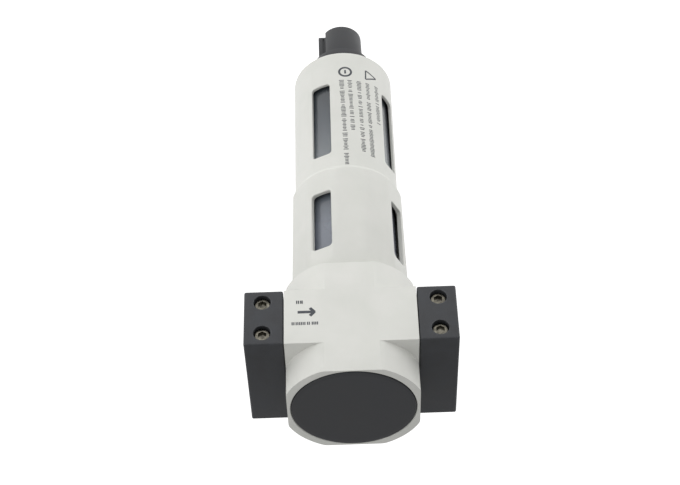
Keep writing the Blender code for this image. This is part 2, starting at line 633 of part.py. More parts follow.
def build_drain_knob():
    """A tapered hollow knob with one side cut flat and a radial tab standing on that flat."""
    neck_room = DRAIN_NECK_RADIUS + FIT
    stem_room = STEM_RADIUS + FIT
    web = DRAIN_NECK_END - KNOB_WEB
    top_radius, end_radius = KNOB_RADIUS
    knob = turned("drain_knob", [
        (top_radius, KNOB_TOP), (end_radius, KNOB_END + 0.3), (end_radius - 0.3, KNOB_END),
        (stem_room, KNOB_END), (stem_room, web), (neck_room, web), (neck_room, KNOB_TOP)],
        "black_plastic")
    combine(knob, box("knob_flat", (KNOB_FLAT, -KNOB_RADIUS[0], KNOB_END - 1),
                      (KNOB_RADIUS[0] + 1, KNOB_RADIUS[0], KNOB_TOP + 1)))
    tab = box("knob_tab", (KNOB_FLAT - 0.8, -KNOB_TAB_WIDTH / 2, KNOB_END),
              (KNOB_TAB_REACH, KNOB_TAB_WIDTH / 2, KNOB_TOP - 0.4), edge=0.3)
    combine(knob, tab, "UNION")


clear_scene()
MATERIALS = {name: make_material(name) for name in COLOURS}
build_housing()
build_cap()
build_plate("inlet_plate", 1)
build_plate("outlet_plate", -1)
build_plate_screws()
build_swirl_ring()
build_element_stack()
build_bowl()
build_guard()
build_drain()
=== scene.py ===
# %% [markdown]
# A compressed air filter, from CAD solids to a finished picture.
#
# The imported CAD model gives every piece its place: metres, +Z up, the pipe run along X and the bowl
# hanging down.  This lesson keeps that frame and rebuilds the surfaces that the eye lands on: the
# powder-coated casting and guard, the smoke-tinted bowl, the black plates and the steel screws.
# Each cell makes one thing, says why it is made that way and prints what it got.

# %% Load the fixed frame
import json
import math

import bmesh
import bpy
from mathutils import Matrix, Vector


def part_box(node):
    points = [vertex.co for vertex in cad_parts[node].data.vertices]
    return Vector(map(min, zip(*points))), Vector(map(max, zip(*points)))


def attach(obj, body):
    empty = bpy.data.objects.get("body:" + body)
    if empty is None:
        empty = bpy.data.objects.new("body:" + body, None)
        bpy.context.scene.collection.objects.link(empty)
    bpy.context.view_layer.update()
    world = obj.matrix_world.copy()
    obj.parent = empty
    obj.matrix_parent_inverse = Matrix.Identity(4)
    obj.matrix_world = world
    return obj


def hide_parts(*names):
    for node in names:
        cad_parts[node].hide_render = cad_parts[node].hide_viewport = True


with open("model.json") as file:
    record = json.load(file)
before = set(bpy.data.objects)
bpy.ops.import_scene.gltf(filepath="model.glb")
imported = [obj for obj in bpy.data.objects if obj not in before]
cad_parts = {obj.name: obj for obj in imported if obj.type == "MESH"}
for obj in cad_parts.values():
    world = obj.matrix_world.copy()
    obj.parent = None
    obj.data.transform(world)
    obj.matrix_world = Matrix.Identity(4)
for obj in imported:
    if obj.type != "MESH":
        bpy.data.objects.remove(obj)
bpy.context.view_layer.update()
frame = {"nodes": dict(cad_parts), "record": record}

MM = 0.001

# %% [markdown]
# The camera comes first, because every later choice is judged through it.  A product like this is
# often shown lying on its back and seen from its cap end.  The object stays upright here, so the
# camera looks down at about forty degrees and is rolled half a turn.  A longish lens keeps the
# housing from bulging towards the viewer.

# %% Camera
AZIMUTH, ELEVATION, ROLL = (math.radians(angle) for angle in (-0.323, 40.131, 178.239))
LOOK_AT = Vector((2.633, 0.0, -44.762)) * MM
DISTANCE = 518.76 * MM
LENS = 84.22


def aim_camera(azimuth, elevation, roll, look_at, distance, lens):
    """A camera on a sphere round look_at; roll turns it about its own line of sight."""
    level = math.cos(elevation)
    back = Vector((math.sin(azimuth) * level, -math.cos(azimuth) * level, math.sin(elevation)))
    right = Vector((0, 0, 1)).cross(back).normalized()
    up = back.cross(right)
    turned_right = math.cos(roll) * right + math.sin(roll) * up
    turned_up = math.cos(roll) * up - math.sin(roll) * right
    camera = bpy.data.objects.new("camera", bpy.data.cameras.new("camera"))
    camera.matrix_world = Matrix.Translation(look_at + back * distance) @ Matrix(
        (turned_right, turned_up, back)).transposed().to_4x4()
    camera.data.lens = lens
    camera.data.clip_start = 10 * MM
    bpy.context.scene.collection.objects.link(camera)
    return camera


bpy.context.scene.camera = aim_camera(AZIMUTH, ELEVATION, ROLL, LOOK_AT, DISTANCE, LENS)
print("camera at, mm:", [round(c / MM) for c in bpy.context.scene.camera.matrix_world.translation])

# %% [markdown]
# Three small helpers serve every node tree below.  Colours are written as the hex values that a
# paint chart gives, and one function turns them into the linear light values that the renderer
# works in.  The second adds a node, its settings and its links in one call.  The third works out a
# texture's scale from the real size of one bump, so that a pattern can be reasoned about in mm.

# %% Colour and node helpers
def linear(hex_colour):
    """Linear RGBA from an sRGB hex string such as "#D9DAD4"."""
    channels = [int(hex_colour[i:i + 2], 16) / 255 for i in (1, 3, 5)]
    return (*[c / 12.92 if c <= 0.04045 else ((c + 0.055) / 1.055) ** 2.4 for c in channels], 1.0)


def add_node(tree, kind, inputs=None, **settings):
    """Adds a node; a value that is a socket is linked, any other is set on the input."""
    node = tree.nodes.new(kind)
    for name, value in settings.items():
        setattr(node, name, value)
    for name, value in (inputs or {}).items():
        if isinstance(value, bpy.types.NodeSocket):
            tree.links.new(value, node.inputs[name])
        else:
            node.inputs[name].default_value = value
    return node


def per_size(millimetres):
    """Texture scale that gives one bump about this size on Object coordinates in metres."""
    return 1.0 / (millimetres * MM)


print("one bump of 0.9 mm needs scale", round(per_size(0.9)))

# %% [markdown]
# Paint, plastic and turned metal are very different, yet their surfaces have the same build-up: the
# colour and the gloss drift together in soft clouds, over a fine even grain.  One function builds
# that, with every size in millimetres, and each finish below starts from its own real values.  A
# finish with something more, such as dust or pores, adds it afterwards.

# %% A mottled surface
MATERIALS = {}


def new_material(name, **shader_values):
    """A material with a Principled shader; returns its tree, its shader and Object coordinates."""
    material = bpy.data.materials.new(name)
    material.use_nodes = True
    tree = material.node_tree
    shader = tree.nodes["Principled BSDF"]
    for socket, value in shader_values.items():
        shader.inputs[socket.replace("_", " ")].default_value = value
    MATERIALS[name] = material
    return tree, shader, tree.nodes.new("ShaderNodeTexCoord").outputs["Object"]


def mottled(name, dark, light, cloud_mm, roughness, grain_mm, depth_mm, **shader_values):
    """Colour and roughness drift together in clouds, over a fine bump of a given depth.

    Gives back the tree, the shader, the coordinates, and the colour and bump nodes to build on."""
    tree, shader, where = new_material(name, **shader_values)
    cloud = add_node(tree, "ShaderNodeTexNoise", {
        "Vector": where, "Scale": per_size(cloud_mm), "Detail": 3.0})
    drift = add_node(tree, "ShaderNodeMapRange", {
        "Value": cloud.outputs["Fac"], "From Min": 0.3, "From Max": 0.7})
    colour = add_node(tree, "ShaderNodeMix", {
        0: drift.outputs["Result"], 6: linear(dark), 7: linear(light)}, data_type="RGBA")
    matt = add_node(tree, "ShaderNodeMapRange", {
        "Value": drift.outputs["Result"], "To Min": roughness[0], "To Max": roughness[1]})
    grain = add_node(tree, "ShaderNodeTexNoise", {
        "Vector": where, "Scale": per_size(grain_mm), "Detail": 2.0, "Roughness": 0.6})
    relief = add_node(tree, "ShaderNodeBump", {
        "Height": grain.outputs["Fac"], "Distance": depth_mm * MM})
    tree.links.new(colour.outputs[2], shader.inputs["Base Color"])
    tree.links.new(matt.outputs["Result"], shader.inputs["Roughness"])
    tree.links.new(relief.outputs["Normal"], shader.inputs["Normal"])
    print(f"{name}: clouds of {cloud_mm} mm, grain of {grain_mm} mm, {depth_mm} mm deep")
    return tree, shader, where, colour, relief


# %% [markdown]
# White powder coat over die-cast zinc.  The powder melts into a skin with a faint orange peel:
# bumps about a millimetre wide and a few microns deep, with a finer grain between them.  The peel
# is drawn three times deeper than real, because its true depth wouldn't show.  It is satin, so
# highlights are broad.  Where the skin pulls thin it is a touch warmer and smoother, which the
# clouds give.

# %% Powder coat
def powder_coat():
    tree, shader, where, _, relief = mottled(
        "white_powder_coat_satin", "#D0D1CB", "#D6D6D1", 9.0, (0.40, 0.50), 1.1, 0.016, IOR=1.5)
    fine = add_node(tree, "ShaderNodeTexNoise", {"Vector": where, "Scale": per_size(0.22)})
    skin = add_node(tree, "ShaderNodeBump", {
        "Height": fine.outputs["Fac"], "Distance": 0.004 * MM, "Normal": relief.outputs["Normal"]})
    tree.links.new(skin.outputs["Normal"], shader.inputs["Normal"])


powder_coat()

# %% [markdown]
# Two blacks that must not look alike.  The plates are cast metal with a thin matt black coat over a
# sand-fine surface, so they are greyer, rougher and faintly blue, with specks of pale dust caught
# in the texture.  Along the edges the colour is painted lighter, partly as coat rubbed thin and
# partly as a painted highlight where the rounded edges catch the light: the Bevel node's normal
# leaves the face's own one there, and a patchy noise breaks that line up.  The cap and the drain are
# moulded nylon with a spark-eroded texture: deeper black, slightly shinier, with a finer grain.

# %% Black finishes
def black_coat():
    tree, shader, where, colour, _ = mottled(
        "black_coated_die_cast", "#2C2D30", "#37393D", 5.0, (0.46, 0.62), 0.30, 0.030, IOR=1.45)
    speck = add_node(tree, "ShaderNodeTexVoronoi", {"Vector": where, "Scale": per_size(1.1)})
    dust = add_node(tree, "ShaderNodeMapRange", {
        "Value": speck.outputs["Distance"], "From Min": 0.03, "From Max": 0.10,
        "To Min": 1.0, "To Max": 0.0})
    dusted = add_node(tree, "ShaderNodeMix", {
        0: dust.outputs["Result"], 6: colour.outputs[2], 7: linear("#4A4B4E")}, data_type="RGBA")
    # Edge mask: the lighter edge colour is partly coat rubbed thin and partly a painted edge
    # highlight.
    rounded = add_node(tree, "ShaderNodeBevel", {"Radius": 0.5 * MM}, samples=6)
    flat = add_node(tree, "ShaderNodeNewGeometry")
    facing = add_node(tree, "ShaderNodeVectorMath", {
        0: rounded.outputs["Normal"], 1: flat.outputs["True Normal"]}, operation="DOT_PRODUCT")
    edge = add_node(tree, "ShaderNodeMapRange", {
        "Value": facing.outputs["Value"], "From Min": 0.99, "From Max": 0.90, "To Max": 1.0})
    patches = add_node(tree, "ShaderNodeTexNoise", {
        "Vector": where, "Scale": per_size(1.6), "Detail": 4.0, "Roughness": 0.65})
    rubbed_and_highlit = add_node(tree, "ShaderNodeMapRange", {
        "Value": patches.outputs["Fac"], "From Min": 0.42, "From Max": 0.66, "To Max": 0.75})
    wear_and_edge_highlight = add_node(tree, "ShaderNodeMath", {
        0: edge.outputs["Result"], 1: rubbed_and_highlit.outputs["Result"]}, operation="MULTIPLY")
    worn_and_highlit = add_node(tree, "ShaderNodeMix", {
        0: wear_and_edge_highlight.outputs["Value"], 6: dusted.outputs[2], 7: linear("#6E7074")}, data_type="RGBA")
    tree.links.new(worn_and_highlit.outputs[2], shader.inputs["Base Color"])


black_coat()
mottled("black_moulded_nylon", "#232427", "#2B2D31", 12.0, (0.42, 0.55), 0.18, 0.014, IOR=1.53)

# %% [markdown]
# The bowl is polycarbonate with a smoke tint.  It is clear plastic, so light passes through it and
# the tint belongs to the transmission colour, not to a painted surface.  A ramp along the height
# paints shade into that colour: each window's stretch of bowl is darker towards the drain end and
# lighter towards the housing.  Very faint flow lines down the wall keep its reflections from looking
# like glass.

# %% Smoke polycarbonate
# Tint by height in mm; the dark stops at -104 and -53 are painted shade at each window's drain end.
BOWL_TINT_AND_SHADE = {-104.0: "#2C333B", -86.0: "#717982", -69.5: "#B4BBC0", -53.0: "#7E8792",
              -40.0: "#B3BAC8", -29.0: "#ABB2C0"}


def smoke_polycarbonate():
    tree, shader, where = new_material("smoke_polycarbonate", IOR=1.585, Transmission_Weight=0.65,
                                       Specular_IOR_Level=0.35)
    level = add_node(tree, "ShaderNodeSeparateXYZ", {"Vector": where})
    lowest, highest = min(BOWL_TINT_AND_SHADE), max(BOWL_TINT_AND_SHADE)
    along = add_node(tree, "ShaderNodeMapRange", {
        "Value": level.outputs["Z"], "From Min": lowest * MM, "From Max": highest * MM})
    tint_and_shade_ramp = add_node(tree, "ShaderNodeValToRGB", {"Fac": along.outputs["Result"]})
    ramp = tint_and_shade_ramp.color_ramp.elements
    while len(ramp) < len(BOWL_TINT_AND_SHADE):
        ramp.new(0.5)
    for stop, (z, tint) in zip(ramp, BOWL_TINT_AND_SHADE.items()):
        stop.position, stop.color = (z - lowest) / (highest - lowest), linear(tint)
    stretched = add_node(tree, "ShaderNodeMapping", {"Vector": where, "Scale": (1.0, 1.0, 0.12)})
    flow = add_node(tree, "ShaderNodeTexNoise", {
        "Vector": stretched.outputs["Vector"], "Scale": per_size(6.0), "Detail": 1.0})
    streaks = add_node(tree, "ShaderNodeMapRange", {
        "Value": flow.outputs["Fac"], "From Min": 0.3, "From Max": 0.7, "To Max": 0.25})
    tint = add_node(tree, "ShaderNodeMix", {
        0: streaks.outputs["Result"], 6: tint_and_shade_ramp.outputs["Color"], 7: linear("#A4ABB2")},
        data_type="RGBA")
    gloss = add_node(tree, "ShaderNodeMapRange", {
        "Value": flow.outputs["Fac"], "From Min": 0.3, "From Max": 0.7,
        "To Min": 0.10, "To Max": 0.18})
    relief = add_node(tree, "ShaderNodeBump", {
        "Height": flow.outputs["Fac"], "Distance": 0.02 * MM, "Strength": 0.5})
    tree.links.new(tint.outputs[2], shader.inputs["Base Color"])
    tree.links.new(gloss.outputs["Result"], shader.inputs["Roughness"])
    tree.links.new(relief.outputs["Normal"], shader.inputs["Normal"])
    print("bowl tints at, mm:", list(BOWL_TINT_AND_SHADE))


smoke_polycarbonate()

# %% [markdown]
# The metals keep Blender's default index of refraction, because a metal's colour comes from its
# base colour.  The screws are steel with a thin zinc layer that has dulled: slightly yellow, with
# fine turning marks.  The drain stem and the baffle nut are turned brass.

# %% Metals
mottled("zinc_plated_steel", "#45433E", "#8A867A", 1.4, (0.20, 0.32), 0.25, 0.008, Metallic=1.0)
mottled("turned_brass", "#B08B4A", "#CBA865", 1.4, (0.25, 0.38), 0.25, 0.008, Metallic=1.0)

# %% [markdown]
# The inner pieces show only through the windows or when the bowl is off, but they are what makes
# the object a filter.  Sintered polyethylene is a mass of fused grains with pores of a few tenths
# of a millimetre.  Acetal is smooth and milky.  Nitrile rubber is the darkest thing on the object.
# The printing ink dries to a satin grey-blue film.

# %% Inner materials and ink
def sintered_polyethylene():
    tree, shader, where = new_material("sintered_polyethylene", IOR=1.5, Roughness=0.85)
    grains = add_node(tree, "ShaderNodeTexVoronoi", {"Vector": where, "Scale": per_size(0.45)})
    # Painted shade: the pores between the grains are coloured darker, where the bump sinks them.
    pore_shade = add_node(tree, "ShaderNodeMapRange", {
        "Value": grains.outputs["Distance"], "From Min": 0.35, "From Max": 0.75})
    colour = add_node(tree, "ShaderNodeMix", {
        0: pore_shade.outputs["Result"], 6: linear("#E6DFCF"), 7: linear("#B9AE97")}, data_type="RGBA")
    relief = add_node(tree, "ShaderNodeBump", {
        "Height": grains.outputs["Distance"], "Distance": 0.10 * MM}, invert=True)
    tree.links.new(colour.outputs[2], shader.inputs["Base Color"])
    tree.links.new(relief.outputs["Normal"], shader.inputs["Normal"])


sintered_polyethylene()
mottled("white_acetal", "#DAD8CF", "#E6E4DC", 4.0, (0.34, 0.46), 0.30, 0.010, IOR=1.48)
mottled("nitrile_rubber", "#121212", "#1C1C1B", 4.0, (0.56, 0.68), 0.15, 0.010, IOR=1.52)
mottled("screen_print_ink", "#3B3E44", "#464950", 4.0, (0.49, 0.61), 0.20, 0.010, IOR=1.5)
print("materials:", ", ".join(sorted(MATERIALS)))

# %% [markdown]
# Every CAD node that stays visible gets one of these finishes.  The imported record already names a
# material slot for each node, so the finish follows from the slot.

# %% Finish the CAD nodes
FINISH_OF_SLOT = {
    "white_paint": "white_powder_coat_satin", "black_plate": "black_coated_die_cast",
    "black_plastic": "black_moulded_nylon", "smoky_clear": "smoke_polycarbonate",
    "steel": "zinc_plated_steel", "rubber": "nitrile_rubber", "sintered": "sintered_polyethylene",
    "brass": "turned_brass", "off_white_plastic": "white_acetal",
}
for entry in frame["record"]["subparts"]:
    node = frame["nodes"][entry["node"]]
    node.data.materials.clear()
    node.data.materials.append(MATERIALS[FINISH_OF_SLOT[entry["material_slot"]]])

# %% [markdown]
# Sizes shared by several pieces.  They are read off the CAD nodes' boxes where a box gives them, so
# that the new surfaces land where the solids are.

# %% Shared sizes, in millimetres
def box_mm(node):
    low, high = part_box(node)
    return low / MM, high / MM


plate_low, plate_high = box_mm("inlet_plate")
cap_low, cap_high = box_mm("cap_disc")
housing_low, housing_high = box_mm("housing")
guard_low, guard_high = box_mm("bowl_guard")
bowl_low, bowl_high = box_mm("bowl")
base_low, base_high = box_mm("drain_body")
knob_low, knob_high = box_mm("drain_knob")
HALF_MODULE = 20.0
HALF_DEPTH = plate_high.y
HALF_BLOCK = plate_high.z
TOP_NECK_RADIUS, BOTTOM_NECK_RADIUS = 21.6, 21.3
NECK_TOP, NECK_END = housing_high.z, housing_low.z
print("block half sizes", HALF_MODULE, round(HALF_DEPTH, 2), round(HALF_BLOCK, 2))

# %% [markdown]
# Every piece ends the same way.  Shapes are drawn in millimetres, because that is how the sizes are
# known, and one function merges doubles, turns the faces outwards and scales to metres.  A second
# gives the finish, shades by angle so that machined edges stay crisp, and fixes the piece to its
# body.

# %% Making and settling a piece
def make_piece(name, bm, finish, body, replaces=(), smooth_below=32.0):
    """Turns a bmesh in millimetres into a finished object in metres, and fixes it to its body."""
    bmesh.ops.remove_doubles(bm, verts=bm.verts, dist=1e-5)
    bmesh.ops.recalc_face_normals(bm, faces=bm.faces)
    bmesh.ops.scale(bm, vec=(MM, MM, MM), verts=bm.verts)
    mesh = bpy.data.meshes.new(name)
    bm.to_mesh(mesh)
    bm.free()
    piece = bpy.data.objects.new(name, mesh)
    bpy.context.scene.collection.objects.link(piece)
    if finish:
        settle(piece, finish, body, replaces, smooth_below)
    return piece


def settle(piece, finish, body, replaces=(), smooth_below=32.0):
    """Finish, shading and body of a piece whose mesh is final."""
    piece.data.materials.clear()
    piece.data.materials.append(MATERIALS[finish])
    piece.data.shade_smooth()
    piece.data.set_sharp_from_angle(angle=math.radians(smooth_below))
    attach(piece, body)
    if replaces:
        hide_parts(*replaces)
    print(f"{piece.name}: {len(piece.data.polygons)} faces on {body}")
    return piece


# %% [markdown]
# Turned shapes.  Most of this object came off a lathe or out of a round mould, so a profile of
# (radius, height) points turned about the axis gives it exactly.  Real corners are never sharp: a
# short arc at each of them is what catches the light.

# %% Turned shapes
def lathe(profile, segments, closed=True, start=0.0):
    """Turns (radius, z) points about Z; an open profile starts and ends on the axis."""
    bm = bmesh.new()
    turn = Matrix.Rotation(math.radians(start), 3, "Z")
    verts = [bm.verts.new(turn @ Vector((radius, 0.0, z))) for radius, z in profile]
    pairs = list(zip(verts, verts[1:])) + ([(verts[-1], verts[0])] if closed else [])
    edges = [bm.edges.new(pair) for pair in pairs]
    bmesh.ops.spin(bm, geom=verts + edges, cent=(0, 0, 0), axis=(0, 0, 1), dvec=(0, 0, 0),
                   angle=math.tau, steps=segments, use_merge=True, use_duplicate=False)
    bmesh.ops.remove_doubles(bm, verts=bm.verts, dist=1e-4)
    return bm


def soften(profile, radius, steps=3, corners=None):
    """Rounds a profile's corners with short arcs; corners lists the indices, or all inner ones."""
    chosen = set(range(1, len(profile) - 1)) if corners is None else set(corners)
    points = []
    for index, point in enumerate(profile):
        if index not in chosen:
            points.append(point)
            continue
        here = Vector(point)
        before, after = Vector(profile[index - 1]), Vector(profile[(index + 1) % len(profile)])
        reach = min(radius, 0.45 * (here - before).length, 0.45 * (after - here).length)
        first = here + (before - here).normalized() * reach
        last = here + (after - here).normalized() * reach
        for step in range(steps + 1):
            t = step / steps
            points.append(tuple(first.lerp(here, t).lerp(here.lerp(last, t), t)))
    return points


def quarter_round(start, end, steps):
    """Points of a quarter ellipse that leaves start along Z and arrives at end along the radius."""
    (r0, z0), (r1, z1) = start, end
    angles = [0.5 * math.pi * step / steps for step in range(steps + 1)]
    return [(r0 + (r1 - r0) * (1 - math.cos(a)), z0 + (z1 - z0) * math.sin(a)) for a in angles]


SQUARE_CORNER = [(0, 0), (1, 0), (1, 1)]
print("a softened corner has", len(soften(SQUARE_CORNER, 0.2)) - 2, "points")


# %% [markdown]
# Blocks and cuts.  The ports and screw holes are cut with exact Booleans, as a mill would cut them.
# Each cutter is drawn about Z, where it is easy to think about, and then turned to its own axis.

# %% Blocks and cuts
def turn_to_x(bm):
    """A shape made about Z is laid along X: its height becomes x."""
    quarter = Matrix.Rotation(math.pi / 2, 3, "Y")
    bmesh.ops.rotate(bm, verts=bm.verts, cent=(0, 0, 0), matrix=quarter)
    return bm


def turn_to_front(bm, x, z):
    """A shape made about Z is laid along Y, its top to the front, at (x, z)."""
    quarter = Matrix.Rotation(math.pi / 2, 3, "X")
    bmesh.ops.rotate(bm, verts=bm.verts, cent=(0, 0, 0), matrix=quarter)
    bmesh.ops.translate(bm, verts=bm.verts, vec=(x, 0, z))
    return bm


def block(low, high, edge=0.0, segments=3):
    bm = bmesh.new()
    size = Vector(high) - Vector(low)
    bmesh.ops.create_cube(bm, size=1.0, matrix=Matrix.Translation((Vector(low) + Vector(high)) / 2)
                          @ Matrix.Diagonal((*size, 1.0)))
    if edge:
        bmesh.ops.bevel(bm, geom=list(bm.edges), offset=edge, segments=segments, profile=0.5,
                        affect="EDGES")
    return bm


def carve(piece, bm, operation="DIFFERENCE"):
    """Applies one exact Boolean to a piece and throws the tool away."""
    tool = make_piece("tool", bm, None, None)
    modifier = piece.modifiers.new("carve", "BOOLEAN")
    modifier.object, modifier.operation, modifier.solver = tool, operation, "EXACT"
    apply_modifiers(piece)
    bpy.data.objects.remove(tool)


def apply_modifiers(piece):
    """Replaces a piece's mesh with its evaluated one, and removes the modifiers."""
    evaluated = piece.evaluated_get(bpy.context.evaluated_depsgraph_get())
    mesh = bpy.data.meshes.new_from_object(evaluated)
    piece.modifiers.clear()
    piece.data = mesh


# %% [markdown]
# The housing is a square block with a round neck above and below.  Each neck is a circle that is
# wider than the block, cut off by the block's four sides, which leaves the flat strips that run
# straight through from neck to block.  The casting's edges are all slightly rounded.  Union first,
# then one Bevel over every sharp edge, then the machined cuts, which stay crisp: that is the order
# in which the real one is cast and machined.

# %% Housing casting
def neck_bmesh(radius, low, high, steps=18, corner=1.0):
    """The clipped circle as an upright prism with softened corners where flat meets round."""
    front = math.degrees(math.asin(HALF_DEPTH / radius))
    side = math.degrees(math.acos(HALF_MODULE / radius))
    outline = []
    for quarter in range(4):
        first, last = (side, front) if quarter % 2 == 0 else (90 - front, 90 - side)
        for step in range(steps + 1):
            angle = math.radians(90 * quarter + first + (last - first) * step / steps)
            outline.append((radius * math.cos(angle), radius * math.sin(angle)))
    bm = bmesh.new()
    face = bm.faces.new([bm.verts.new((x, y, low)) for x, y in outline])
    moved = bmesh.ops.extrude_face_region(bm, geom=[face])["geom"]
    bmesh.ops.translate(bm, verts=[v for v in moved if isinstance(v, bmesh.types.BMVert)],
                        vec=(0, 0, high - low))
    bmesh.ops.recalc_face_normals(bm, faces=bm.faces)
    corners = [e for e in bm.edges if 0.25 < e.calc_face_angle() < 1.2]
    bmesh.ops.bevel(bm, geom=corners, offset=corner, segments=5, profile=0.5, affect="EDGES")
    return bm


CAST_ROUND = 0.45
BEYOND = 1.0                                    # how far a cutter reaches past the surface


def build_outside():
    casting = make_piece("housing_casting", block((-HALF_MODULE, -HALF_DEPTH, -HALF_BLOCK),
                                                  (HALF_MODULE, HALF_DEPTH, HALF_BLOCK)),
                         None, None)
    carve(casting, neck_bmesh(TOP_NECK_RADIUS, 0.0, NECK_TOP), "UNION")
    carve(casting, neck_bmesh(BOTTOM_NECK_RADIUS, NECK_END, 0.0), "UNION")
    edges = casting.modifiers.new("cast edges", "BEVEL")
    edges.width, edges.segments, edges.limit_method = CAST_ROUND * MM, 3, "ANGLE"
    edges.angle_limit = math.radians(40)
    apply_modifiers(casting)
    return casting


casting = build_outside()
print("casting outside:", len(casting.data.polygons), "faces")

# %% [markdown]
# The machined inside is where the air goes.  It enters on +X into a ring-shaped chamber round a
# hollow post, comes back up through the element into the post, and leaves by a sleeve that crosses
# the chamber to -X.  The chamber's cutter loses that sleeve first, so one cut leaves it standing.

# %% Housing bores
CAP_GAP, WELL_CHAMFER = 0.2, 0.2
WELL_SEAT, WELL_RADIUS, WELL_FLOOR = 0.3, 16.5, 11.0
POST_RADIUS, POST_FOOT_RADIUS, POST_FOOT_TOP, POST_END = 9.3, 8.5, -13.0, -19.4
CHAMBER_RADIUS, CHAMBER_TOP = 14.5, 6.5
NECK_BORE, NECK_BORE_TOP, NECK_LEAD_IN = 17.9, -10.0, 0.4
SLEEVE_RADIUS, SLEEVE_START, SLEEVE_END = 6.9, -15.5, -6.6
CLEAN_BORE, STUD_SOCKET, STUD_SOCKET_TOP = 6.6, 2.3, 9.5
AIR_BORE, INLET_BORE_END, FAR_OUT = 5.2, 10.8, 40.0


def chamber_bmesh():
    """The chamber's cutter, with the outlet's sleeve taken out of it."""
    below = NECK_END - 0.6
    cavity = [(0, POST_END), (POST_FOOT_RADIUS, POST_END), (POST_FOOT_RADIUS, POST_FOOT_TOP),
              (POST_RADIUS, POST_FOOT_TOP), (POST_RADIUS, CHAMBER_TOP),
              (CHAMBER_RADIUS, CHAMBER_TOP), (CHAMBER_RADIUS, NECK_BORE_TOP),
              (NECK_BORE, NECK_BORE_TOP), (NECK_BORE, NECK_END + NECK_LEAD_IN),
              (NECK_BORE + BEYOND, below), (0, below)]
    chamber = make_piece("chamber", lathe(cavity, 96, False), None, None)
    sleeve = [(0, SLEEVE_START), (SLEEVE_RADIUS, SLEEVE_START), (SLEEVE_RADIUS, SLEEVE_END),
              (0, SLEEVE_END)]
    carve(chamber, turn_to_x(lathe(sleeve, 64, False)))
    bm = bmesh.new()
    bm.from_mesh(chamber.data)
    bmesh.ops.scale(bm, vec=(1 / MM,) * 3, verts=bm.verts)
    bpy.data.objects.remove(chamber)
    return bm


def bore_housing(casting):
    rim, mouth, seat = cap_high.x + CAP_GAP, NECK_TOP + BEYOND, cap_low.z - WELL_SEAT
    well = [(0, mouth), (rim + BEYOND + WELL_CHAMFER, mouth), (rim, NECK_TOP - WELL_CHAMFER),
            (rim, seat), (WELL_RADIUS, seat), (WELL_RADIUS, WELL_FLOOR), (0, WELL_FLOOR)]
    post_bore = [(0, STUD_SOCKET_TOP), (STUD_SOCKET, STUD_SOCKET_TOP), (STUD_SOCKET, CHAMBER_TOP),
                 (CLEAN_BORE, CHAMBER_TOP), (CLEAN_BORE, POST_END - BEYOND),
                 (0, POST_END - BEYOND)]
    outlet = [(0, -FAR_OUT), (AIR_BORE, -FAR_OUT), (AIR_BORE, 0), (0, 0)]
    inlet = [(0, INLET_BORE_END), (AIR_BORE, INLET_BORE_END), (AIR_BORE, FAR_OUT), (0, FAR_OUT)]
    carve(casting, lathe(well, 128, False))
    carve(casting, chamber_bmesh())
    carve(casting, lathe(post_bore, 64, False))
    carve(casting, turn_to_x(lathe(outlet, 64, False)))
    carve(casting, turn_to_x(lathe(inlet, 64, False)))
    settle(casting, "white_powder_coat_satin", "head", ["housing"], 30)


bore_housing(casting)

# %% [markdown]
# The cap disc snaps into the top neck.  It is a plain moulding with a small edge radius, so a
# turned profile is all it needs.  Its middle is a trace lower than its rim, because a moulded disc
# sinks a little as it cools.

# %% Cap disc
CAP_SINK, CAP_ROUND = 0.08, 0.35


def build_cap():
    radius, top, low = cap_high.x, cap_high.z, cap_low.z
    dish = [(radius * t, top - CAP_SINK * (1 - t * t)) for t in (0.0, 0.25, 0.5, 0.75, 0.9)]
    profile = dish + [(radius, top), (radius, low), (0, low)]
    make_piece("cap_cover", lathe(soften(profile, CAP_ROUND, corners=[5, 6]), 128, False),
               "black_moulded_nylon", "head", ["cap_disc"])


build_cap()

# %% [markdown]
# The connecting plates carry the pipe threads.  Each is a rounded block with the port through it, a
# ring groove against the housing and two stepped holes for its screws.  One function makes the
# inlet plate, and a mirror of every x makes the outlet plate.

# %% Connecting plates
PLATE_ROUND = 0.6
PORT_RADIUS = 5.9
GROOVE_INNER, GROOVE_OUTER, GROOVE_DEPTH = 6.9, 8.9, 1.7
POCKET_NEAR, POCKET_FAR, POCKET_END, POCKET_HALF = -15.3, -9.2, 29.2, 2.8
SCREW_X, SCREW_Z = 26.5, 5.7
HEAD_HOLE, HEAD_DEPTH, SHANK_HOLE, SHANK_END = 2.6, 3.0, 1.8, 14.5


def mirrored(bm, side):
    """The shape itself for side 1, and its mirror image in X for side -1."""
    if side < 0:
        bmesh.ops.scale(bm, vec=(-1, 1, 1), verts=bm.verts)
        bmesh.ops.reverse_faces(bm, faces=bm.faces)
    return bm


